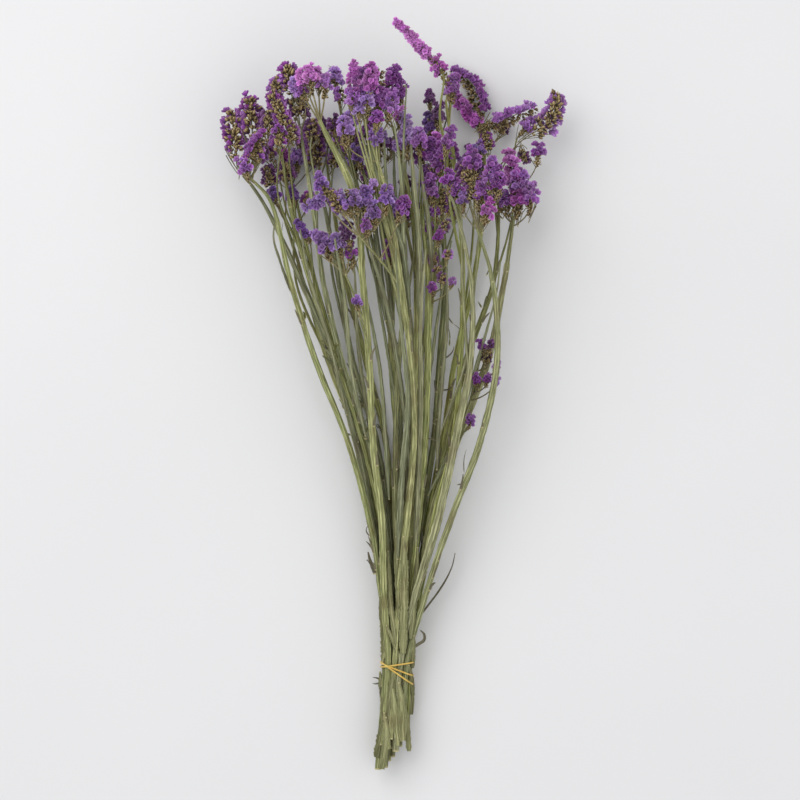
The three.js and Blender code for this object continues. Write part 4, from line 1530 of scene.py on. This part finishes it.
@dataclass
class PanicleMaker:
    """Every panicle: its stalk, branchlets and flower spikes."""

    shop: Workshop
    layering: Layering
    ways: list[Way]
    tones: list[Triple]
    foot_girth: float = 1.3
    stalk_share: float = 0.65
    stalk_bend: float = 0.45
    stalk_bow: float = 0.05
    branchlet_girth: float = 0.9
    branchlet_tip_girth: float = 0.6
    branchlet_slope: float = 0.9
    branchlet_drop: float = 4.0
    branchlet_range: Pair = (0.1, 0.97)
    branchlet_bend: float = 0.4
    limb_girth: float = 1.7
    limb_tip_girth: float = 0.8
    limb_drop: Pair = (60, 170)
    limb_gap: Pair = (1, 6)
    limb_lean: float = 0.3
    limb_reach: float = 8.0
    overlap: float = 7.0
    rachis_girth: float = 0.6
    heading_share: float = 0.3
    lifts: tuple[float, ...] = (0, 3, -3, 2, -2)
    resting_share: float = 1.2
    outline: Table = ((0, 0.9), (0.25, 1.06), (0.5, 1.05), (0.75, 0.95), (1, 0.75))
    tier: float = 8.0
    tier_depth: float = 0.26
    tier_middle: float = 0.6
    calyx_start: float = 0.2
    tip_margin: float = 4.0
    bare_share: float = 0.4
    skirt_reach: Pair = (0.9, 0.8)
    skirt_girths: Triple = (0.5, 0.7, 0.9)
    pedicels: int = 5
    pedicel_girth: float = 0.4

    def build(self) -> None:
        """Grow the panicle at each stem's tip, and then the side sprays."""
        for number, (stem, way, spikes) in enumerate(zip(STEMS, self.ways, TIP_PANICLES), 1):
            end = 1 - (self.layering.stalk_length + self.overlap) / way.length
            stalk = Way(way.part(end, 1))
            tone = self.tones[number - 1]
            node = f"flower_head_{number:02d}"
            self.grow(f"panicle_{number:02d}", node, stalk, spikes, stem.joint, tone, stem, way)
        for spray in SIDE_SPRAYS:
            way = self.ways[spray.stem]
            start = way.at(way.share_at(spray.leave - self.overlap))
            height = self.layering.height(STEMS[spray.stem], spray.hub[1]) + spray.lift
            end = Vector((*spray.hub, height))
            control = start.lerp(end, self.stalk_bend)
            control.y += self.stalk_bow * (end - start).length
            stalk = Way.bent(start, control, end)
            tone = self.tones[spray.stem]
            self.grow(f"{spray.name}_panicle", spray.name, stalk, spray.spikes, self.foot_girth, tone)
        LOG.info("grew %d panicles", len(TIP_PANICLES) + len(SIDE_SPRAYS))

    def axis(self, spike: Spike, height: float) -> Way:
        """Lay the axis of a spike from foot to tip, at a height."""
        foot = Vector((spike.x, spike.y, height))
        tip = Vector((spike.tip_x, spike.tip_y, height))
        line = (tip - foot).normalized()
        middle = foot.lerp(tip, 0.5) + Vector((line.y, -line.x, 0)) * 2 * spike.bow
        return Way.bent(foot, middle, tip)

    def facing(self, spike: Spike) -> Vector:
        """Find the side to which a spike's calyces open, as a direction."""
        line = Vector((spike.tip_x - spike.x, spike.tip_y - spike.y, 0)).normalized()
        right = Vector((line.y, -line.x, 0))
        return {
            Face.FRONT: UP,
            Face.BACK: UP * -0.5,
            Face.LEFT: UP * 0.45 - right,
            Face.RIGHT: UP * 0.45 + right,
        }[spike.face]

    def grow(
        self,
        name: str,
        node: str,
        stalk: Way,
        spikes: tuple[Spike, ...],
        foot_girth: float,
        tone: Triple,
        stem: StemLine | None = None,
        stem_way: Way | None = None,
    ) -> None:
        """Grow one panicle in the place of its solid.

        Args:
            name: Name of the piece.
            node: The solid that it stands for.
            stalk: Way of its stalk.
            spikes: Its spikes.
            foot_girth: Girth of the foot of the stalk.
            tone: Tone of the stem that bears it.
            stem: The stem, where the panicle stands at its tip.
            stem_way: The stem's way, where some spikes may have a long limb from low on it.
        """
        hub = stalk.at(1)
        seed = sum(ord(letter) for letter in name)
        chance = random.Random(seed)
        rest = stem is not None and stem.layer == 0
        trunk, branchlets, limbs, skirts = (Spines() for _ in range(4))
        papery = {face: Spines() for face in CALYX_HABITS}
        scaly = {face: Spines() for face in BRACT_HABITS}
        self.lay(trunk, stalk, foot_girth, foot_girth * self.stalk_share, tone)
        for i, spike in enumerate(spikes):
            height = spike.girth * self.resting_share if rest else hub.z + self.lifts[i % len(self.lifts)]
            axis = self.axis(spike, height)
            foot = axis.at(0)
            line = (axis.at(self.heading_share) - foot).normalized()
            if i and stem and chance.random() < stem.limbs:
                limb = self.limb(stem_way, foot, line, chance)
                self.lay(limbs, limb, self.limb_girth, self.limb_tip_girth, tone)
            else:
                branchlet = self.branchlet(stalk, foot, line)
                self.lay(branchlets, branchlet, self.branchlet_girth, self.branchlet_tip_girth, tone)
            self.lay(branchlets, axis, self.rachis_girth, self.rachis_girth, tone)
            self.fan(branchlets, axis, line, spike.girth, tone, chance)
            side = Face.LEFT if spike.face is Face.RIGHT else spike.face
            last = 1 - min(self.bare_share, self.tip_margin / axis.length)
            self.line(papery[side], spike, axis, self.calyx_start * last, last)
            self.line(scaly[side], spike, axis, 0.0, last)
            if spike.face is not Face.BACK:
                below, above = (reach * spike.girth for reach in self.skirt_reach)
                girths = [share * spike.girth for share in self.skirt_girths]
                skirts.add([foot - line * below, foot, foot + line * above], girths, self.facing(spike))
        shop = self.shop
        meshes = [shop.stalk(trunk, WINGED, shop.skin), shop.stalk(branchlets, THIN, shop.twig)]
        if limbs.points:
            meshes.append(shop.stalk(limbs, THIN, shop.skin))
        growths = [(papery[face], habit, shop.calyx, shop.papery) for face, habit in CALYX_HABITS.items()]
        growths += [(scaly[face], habit, shop.bract, shop.dry) for face, habit in BRACT_HABITS.items()]
        growths.append((skirts, SKIRT_HABIT, shop.bract, shop.dry))
        for step, (spines, habit, shape, material) in enumerate(growths):
            if spines.points:
                values = tree_values(habit, ("crumple", "smallest"))
                values |= {"Shape": shape, "Material": material, "Seed": seed + step}
                meshes.append(shop.ranks.grow(spines.stand("rank_lines"), values))
        piece = piece_of(name, meshes)
        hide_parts(node)
        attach(piece, "root")

    def line(self, spines: Spines, spike: Spike, axis: Way, begin: float, end: float) -> None:
        """Lay the line on which a spike's calyces or bracts stand, which swells at each tier.

        Args:
            spines: Where it is added.
            spike: The spike.
            axis: Its axis.
            begin: Share of the axis where the line starts.
            end: Share of the axis where it ends.
        """
        points = axis.part(begin, end, 1.0)
        girths = []
        for k in range(len(points)):
            share = begin + (end - begin) * k / (len(points) - 1)
            swell = abs(math.sin(math.pi * share * max(1, round(axis.length / self.tier)))) - self.tier_middle
            girths.append(spike.girth * read(self.outline, share) * (1 + self.tier_depth * swell))
        spines.add(points, girths, self.facing(spike), spike.tint.value)

    def fan(
        self, spines: Spines, axis: Way, line: Vector, girth: float, tone: Triple, chance: random.Random
    ) -> None:
        """Spread fine pedicels from below a spike's foot to its sides.

        Args:
            spines: Where they are added.
            axis: The spike's axis.
            line: Heading of the spike.
            girth: Half the spike's width.
            tone: Their tone.
            chance: The panicle's own chance.
        """
        right = Vector((line.y, -line.x, 0))
        for _ in range(self.pedicels):
            start = axis.at(0) - line * chance.uniform(0.4, 1.6) * girth
            end = axis.at(chance.uniform(0.0, 0.45)) + right * girth * chance.uniform(-1, 1)
            middle = start.lerp(end, 0.6) - line * 0.2 * girth + UP * chance.uniform(-1, 1)
            self.lay(spines, Way.bent(start, middle, end), self.pedicel_girth, self.pedicel_girth, tone)

    def lay(self, spines: Spines, way: Way, first: float, last: float, tone: Triple) -> None:
        """Add a tapering twig to some spines.

        Args:
            spines: Where it is added.
            way: Its way.
            first: Girth of its foot.
            last: Girth of its end.
            tone: Its tone.
        """
        points = way.part(0, 1, 3.0)
        count = len(points) - 1
        spines.add(points, [first + (last - first) * k / count for k in range(count + 1)], UP, tone)

    def branchlet(self, stalk: Way, foot: Vector, line: Vector) -> Way:
        """Lay a branchlet from the stalk to a spike's foot.

        Args:
            stalk: Way of the stalk.
            foot: Foot of the spike.
            line: Heading of the spike.

        Returns:
            The way of the branchlet.
        """
        aside = abs(foot.x - stalk.at(1).x)
        leave = stalk.share_at(foot.y - self.branchlet_slope * aside - self.branchlet_drop)
        lowest, highest = self.branchlet_range
        start = stalk.at(min(max(leave, lowest), highest))
        reach = (foot - start).length
        return Way.bent(start, foot - line * self.branchlet_bend * reach, foot)

    def limb(self, stem: Way, foot: Vector, line: Vector, chance: random.Random) -> Way:
        """Lay a long limb from low on the stem to a spike's foot.

        Args:
            stem: The stem's way.
            foot: Foot of the spike.
            line: Heading of the spike.
            chance: The panicle's own chance.

        Returns:
            The way of the limb.
        """
        start = stem.at(stem.share_at(foot.y - chance.uniform(*self.limb_drop)))
        middle = stem.at(stem.share_at((start.y + foot.y) / 2))
        side = 1 if foot.x > middle.x else -1
        middle.x += self.limb_lean * (foot.x - middle.x) + side * chance.uniform(*self.limb_gap)
        return Way.through([start, middle, foot - line * self.limb_reach, foot])


@dataclass
class WitheredGrowth:
    """The bare twig, the withered leaves, the curled wisps and the frayed sheaths."""

    shop: Workshop
    layering: Layering
    ways: list[Way]
    lift: float = 0.4
    foot_drop: float = 0.14
    crossing_girths: Table = ((0, 0.35), (0.12, 1), (0.6, 0.9), (1, 0.4))
    knot_girth: float = 1.7
    knot_heading: float = 97
    knot_spread: float = 32
    knot_turn: float = 70
    settle: int = 5
    seed: int = 5

    def build(self) -> None:
        """Grow the wisps in the place of their solids, and then the looser pieces."""
        for wisp in WISPS:
            start = self.layering.beside(self.ways[wisp.stem], wisp.leave, wisp.side)
            knots = [start, *(Vector((x, y, start.z + rise)) for x, y, rise in wisp.way)]
            points = Way.through(knots).part(0, 1, 1.5)
            spines = Spines()
            shares = [i / (len(points) - 1) for i in range(len(points))]
            girths = [wisp.girth * (1 - 0.6 * max(0.0, 2 * share - 1)) for share in shares]
            spines.add(points, girths, UP, (0.1, 0.5, 0.0))
            section = THIN if wisp.flat == 1 else BLADE
            piece = piece_of(f"dry_{wisp.name}", [self.shop.stalk(spines, section, self.shop.twig)])
            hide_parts(wisp.name)
            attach(piece, "root")
        self.loose("crossing_twigs", self.crossings(), FLUTED, self.shop.skin)
        self.loose("curled_wisps", self.curls(), BLADE, self.shop.twig)
        self.loose("leafy_knots", self.knots(), BLADE, self.shop.skin)
        self.loose("frayed_sheaths", self.sheaths(), SHEATH, self.shop.husk)
        LOG.info("grew %d wisps and the looser pieces", len(WISPS))

    def loose(self, name: str, spines: Spines, section: Section, material: bpy.types.Material) -> None:
        """Grow a piece that no solid stands for.

        Args:
            name: Name of the piece.
            spines: Its lines.
            section: Their section.
            material: The finish.
        """
        piece = piece_of(name, [self.shop.stalk(spines, section, material)])
        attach(piece, "root")

    def roof(self, x: float, y: float) -> float:
        """Find how high the stems reach at a place.

        Args:
            x: Across the bunch.
            y: Along the bunch.

        Returns:
            The height of the highest stem's skin, or of the nearest stem's middle where no stem lies.
        """
        tops = []
        middles = []
        for way in self.ways:
            share = way.share_at(y)
            centre, radius = way.at(share), self.layering.radius(share)
            gap = abs(centre.x - x)
            middles.append((gap, centre.z))
            if gap < radius:
                tops.append(centre.z + self.layering.flat * math.sqrt(radius**2 - gap**2))
        return max(tops) if tops else min(middles)[1]

    def crossings(self) -> Spines:
        """Lay the branches that cross the fan between its layers."""
        spines = Spines()
        chance = random.Random(self.seed)
        for layer, girth, *places in CROSSINGS:
            guide = StemLine(layer, 0, 0, 0, (), (0, 0))
            knots = [Vector((x, y, self.layering.height(guide, y))) for x, y in places]
            knots[0].z -= self.foot_drop * knots[0].z
            points = Way.through(knots).part(0, 1)
            shares = [i / (len(points) - 1) for i in range(len(points))]
            girths = [girth * read(self.crossing_girths, share) for share in shares]
            spines.add(points, girths, UP, (chance.random(), chance.random(), 0.0))
        return spines

    def curls(self) -> Spines:
        """Lay the curled wisps on the stems."""
        spines = Spines()
        for x, y, angle, length, turn, girth in CURLS:
            points = curl(Vector((x, y, self.roof(x, y) - self.lift)), angle, length, turn, 0.06)
            spines.add(points, tapered(len(points), girth), UP, (0.0, 0.5, 0.0))
        return spines

    def knots(self) -> Spines:
        """Gather small leaves round the joints where stems fork."""
        spines = Spines()
        chance = random.Random(self.seed)
        for x, y, count, length in KNOTS:
            for _ in range(count):
                start = Vector((x + chance.uniform(-2, 2), y + chance.uniform(-3, 3), 0))
                start.z = self.roof(start.x, start.y) - self.lift
                angle = self.knot_heading + chance.uniform(-self.knot_spread, self.knot_spread)
                reach = length * chance.uniform(0.6, 1.2)
                points = curl(start, angle, reach, chance.uniform(-self.knot_turn, self.knot_turn), 0.1)
                tone = (chance.random() * 0.5, 0.5, chance.random())
                spines.add(points, tapered(len(points), self.knot_girth), UP, tone)
        return spines

    def sheaths(self) -> Spines:
        """Drape the torn leaf sheaths over the tied end."""
        spines = Spines()
        chance = random.Random(self.seed)
        for girth, light, *places in SHEATHS:
            knots = [Vector((x, y, self.roof(x, y) + self.lift)) for x, y in places]
            points = Way.through(knots).part(0, 1, 1.6)
            shares = [i / (len(points) - 1) for i in range(len(points))]
            first = max(point.z for point in points[:self.settle])
            last = max(point.z for point in points[-self.settle:])
            for point, share in zip(points, shares):
                point.z = first + share * (last - first)
            girths = [girth * min(1.0, 0.25 + 3 * share, 0.7 + 3 * (1 - share)) for share in shares]
            spines.add(points, girths, UP, (light, 0.5 + chance.uniform(-0.1, 0.1), 0.5))
        return spines


@dataclass
class RubberBand:
    """The band: three turns that hug the outermost stems and tilt as they go round."""

    layering: Layering
    ways: list[Way]
    girth: float = 0.7
    clearance: float = 0.6
    steps: int = 88
    sides: int = 10
    rows: int = 12
    turns: Table = ((1, 2), (-3, -5), (-6, -9))

    def build(self) -> None:
        """Wind the band in the place of its solid."""
        meshes = [self.turn(self.layering.tie_y + rise, tilt) for rise, tilt in self.turns]
        piece = piece_of("wound_band", meshes)
        piece.data.materials.clear()
        piece.data.materials.append(RubberFinish().dye())
        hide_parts("rubber_band")
        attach(piece, "root")
        LOG.info("wound the band %d times", len(self.turns))

    def turn(self, middle_y: float, tilt: float) -> bpy.types.Mesh:
        """Make one turn.

        Args:
            middle_y: Height along the bunch of its middle.
            tilt: How far its right end leans towards the flowers.

        Returns:
            A closed tube.
        """
        standing = self.layering.radii[0][1] * self.layering.flat + self.clearance + self.girth
        rows = {}
        for k in range(-self.rows, self.rows + 1):
            y = middle_y + tilt * k / self.rows
            rows[k] = [way.at(way.share_at(y)) for way in self.ways]
        loop = []
        for i in range(self.steps):
            angle = 2 * math.pi * i / self.steps
            out = Vector((math.cos(angle), 0, math.sin(angle)))
            row = rows[round(self.rows * math.cos(angle))]
            furthest = max(row, key=lambda centre: centre.dot(out)).copy()
            furthest.y = 0
            loop.append(furthest + out * standing)
        left, right = min(point.x for point in loop), max(point.x for point in loop)
        for point in loop:
            point.y = middle_y + tilt * (2 * (point.x - left) / (right - left) - 1)
        points = []
        for i, point in enumerate(loop):
            along = (loop[(i + 1) % self.steps] - loop[i - 1]).normalized()
            angle = 2 * math.pi * i / self.steps
            out = Vector((math.cos(angle), 0, math.sin(angle)))
            out = (out - out.dot(along) * along).normalized()
            across = along.cross(out)
            for k in range(self.sides):
                turn = 2 * math.pi * k / self.sides
                points.append((point + (out * math.cos(turn) + across * math.sin(turn)) * self.girth) * MM)
        faces = []
        for i in range(self.steps):
            j = (i + 1) % self.steps
            for k in range(self.sides):
                n = (k + 1) % self.sides
                faces.append((i * self.sides + k, i * self.sides + n, j * self.sides + n, j * self.sides + k))
        mesh = bpy.data.meshes.new("band_turn")
        mesh.from_pydata(points, [], faces)
        for polygon in mesh.polygons:
            polygon.use_smooth = True
        return mesh


@dataclass
class Studio:
    """The pale table, the soft light and the camera straight above."""

    frame_width: float = 0.64
    middle: Pair = (0.0036, -0.0028)
    middle_height: float = 0.05
    distance: float = 4.0
    sensor: float = 36.0
    table_colour: Triple = (0.75, 0.745, 0.745)
    table_shade: float = 0.97
    table_side: float = 6.0
    table_top: float = -0.0003
    table_corners: tuple[tuple[int, int], ...] = ((-1, -1), (1, -1), (1, 1), (-1, 1))
    room: tuple[float, float, float, float] = (0.95, 0.96, 0.98, 1.0)
    room_strength: float = 0.81

    def build(self) -> None:
        """Set up the table, the lights and the camera."""
        self.lay_table()
        self.light()
        self.stand_camera()

    def lay_table(self) -> None:
        """Lay a wide pale table under the bunch."""
        mesh = bpy.data.meshes.new("table")
        corners = [(x * self.table_side, y * self.table_side, self.table_top) for x, y in self.table_corners]
        mesh.from_pydata(corners, [], [(0, 1, 2, 3)])
        table = bpy.data.objects.new("table", mesh)
        bpy.context.scene.collection.objects.link(table)
        dye = Dye("pale_table")
        grain = dye.ramp(dye.noise(dye.place, 3.0), 0.3, 0.7)
        pale = tuple(self.table_shade * channel for channel in self.table_colour)
        dye.finish(Base_Color=dye.mix(grain, pale, self.table_colour), Roughness=0.9)
        table.data.materials.append(dye.material)

    def light(self) -> None:
        """Hang a large soft lamp and fill the room with pale light."""
        world = bpy.data.worlds.new("pale_room")
        bpy.context.scene.world = world
        world.use_nodes = True
        background = world.node_tree.nodes["Background"].inputs
        background["Color"].default_value = self.room
        background["Strength"].default_value = self.room_strength
        for name, place, size, power in (
            ("key_lamp", Vector((-0.9, 1.1, 1.8)), 1.9, 24.0),
            ("fill_lamp", Vector((1.2, -0.4, 1.6)), 2.0, 4.0),
        ):
            lamp = bpy.data.lights.new(name, "AREA")
            lamp.size = size
            lamp.energy = power
            hung = bpy.data.objects.new(name, lamp)
            hung.location = place
            hung.rotation_euler = (-place).to_track_quat("-Z", "Y").to_euler()
            bpy.context.scene.collection.objects.link(hung)

    def stand_camera(self) -> None:
        """Look straight down, with the flowers towards the top of the picture."""
        data = bpy.data.cameras.new("camera_above")
        data.sensor_width = self.sensor
        data.lens = self.sensor * self.distance / self.frame_width
        data.clip_end = 20.0
        camera = bpy.data.objects.new("camera_above", data)
        camera.location = (*self.middle, self.middle_height + self.distance)
        bpy.context.scene.collection.objects.link(camera)
        bpy.context.scene.camera = camera


def main() -> None:
    """Build the bunch piece by piece and light it."""
    logging.basicConfig(level=logging.INFO, format="%(name)s: %(message)s")
    bpy.context.scene.view_settings.view_transform = "Standard"
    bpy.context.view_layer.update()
    layering = Layering()
    shop = Workshop()
    sheaf = StemSheaf(shop, layering)
    ways = sheaf.build()
    PanicleMaker(shop, layering, ways, sheaf.tones).build()
    WitheredGrowth(shop, layering, ways).build()
    RubberBand(layering, ways).build()
    Studio().build()
    LOG.info("wrote the sizes")


if __name__ == "__main__":
    main()
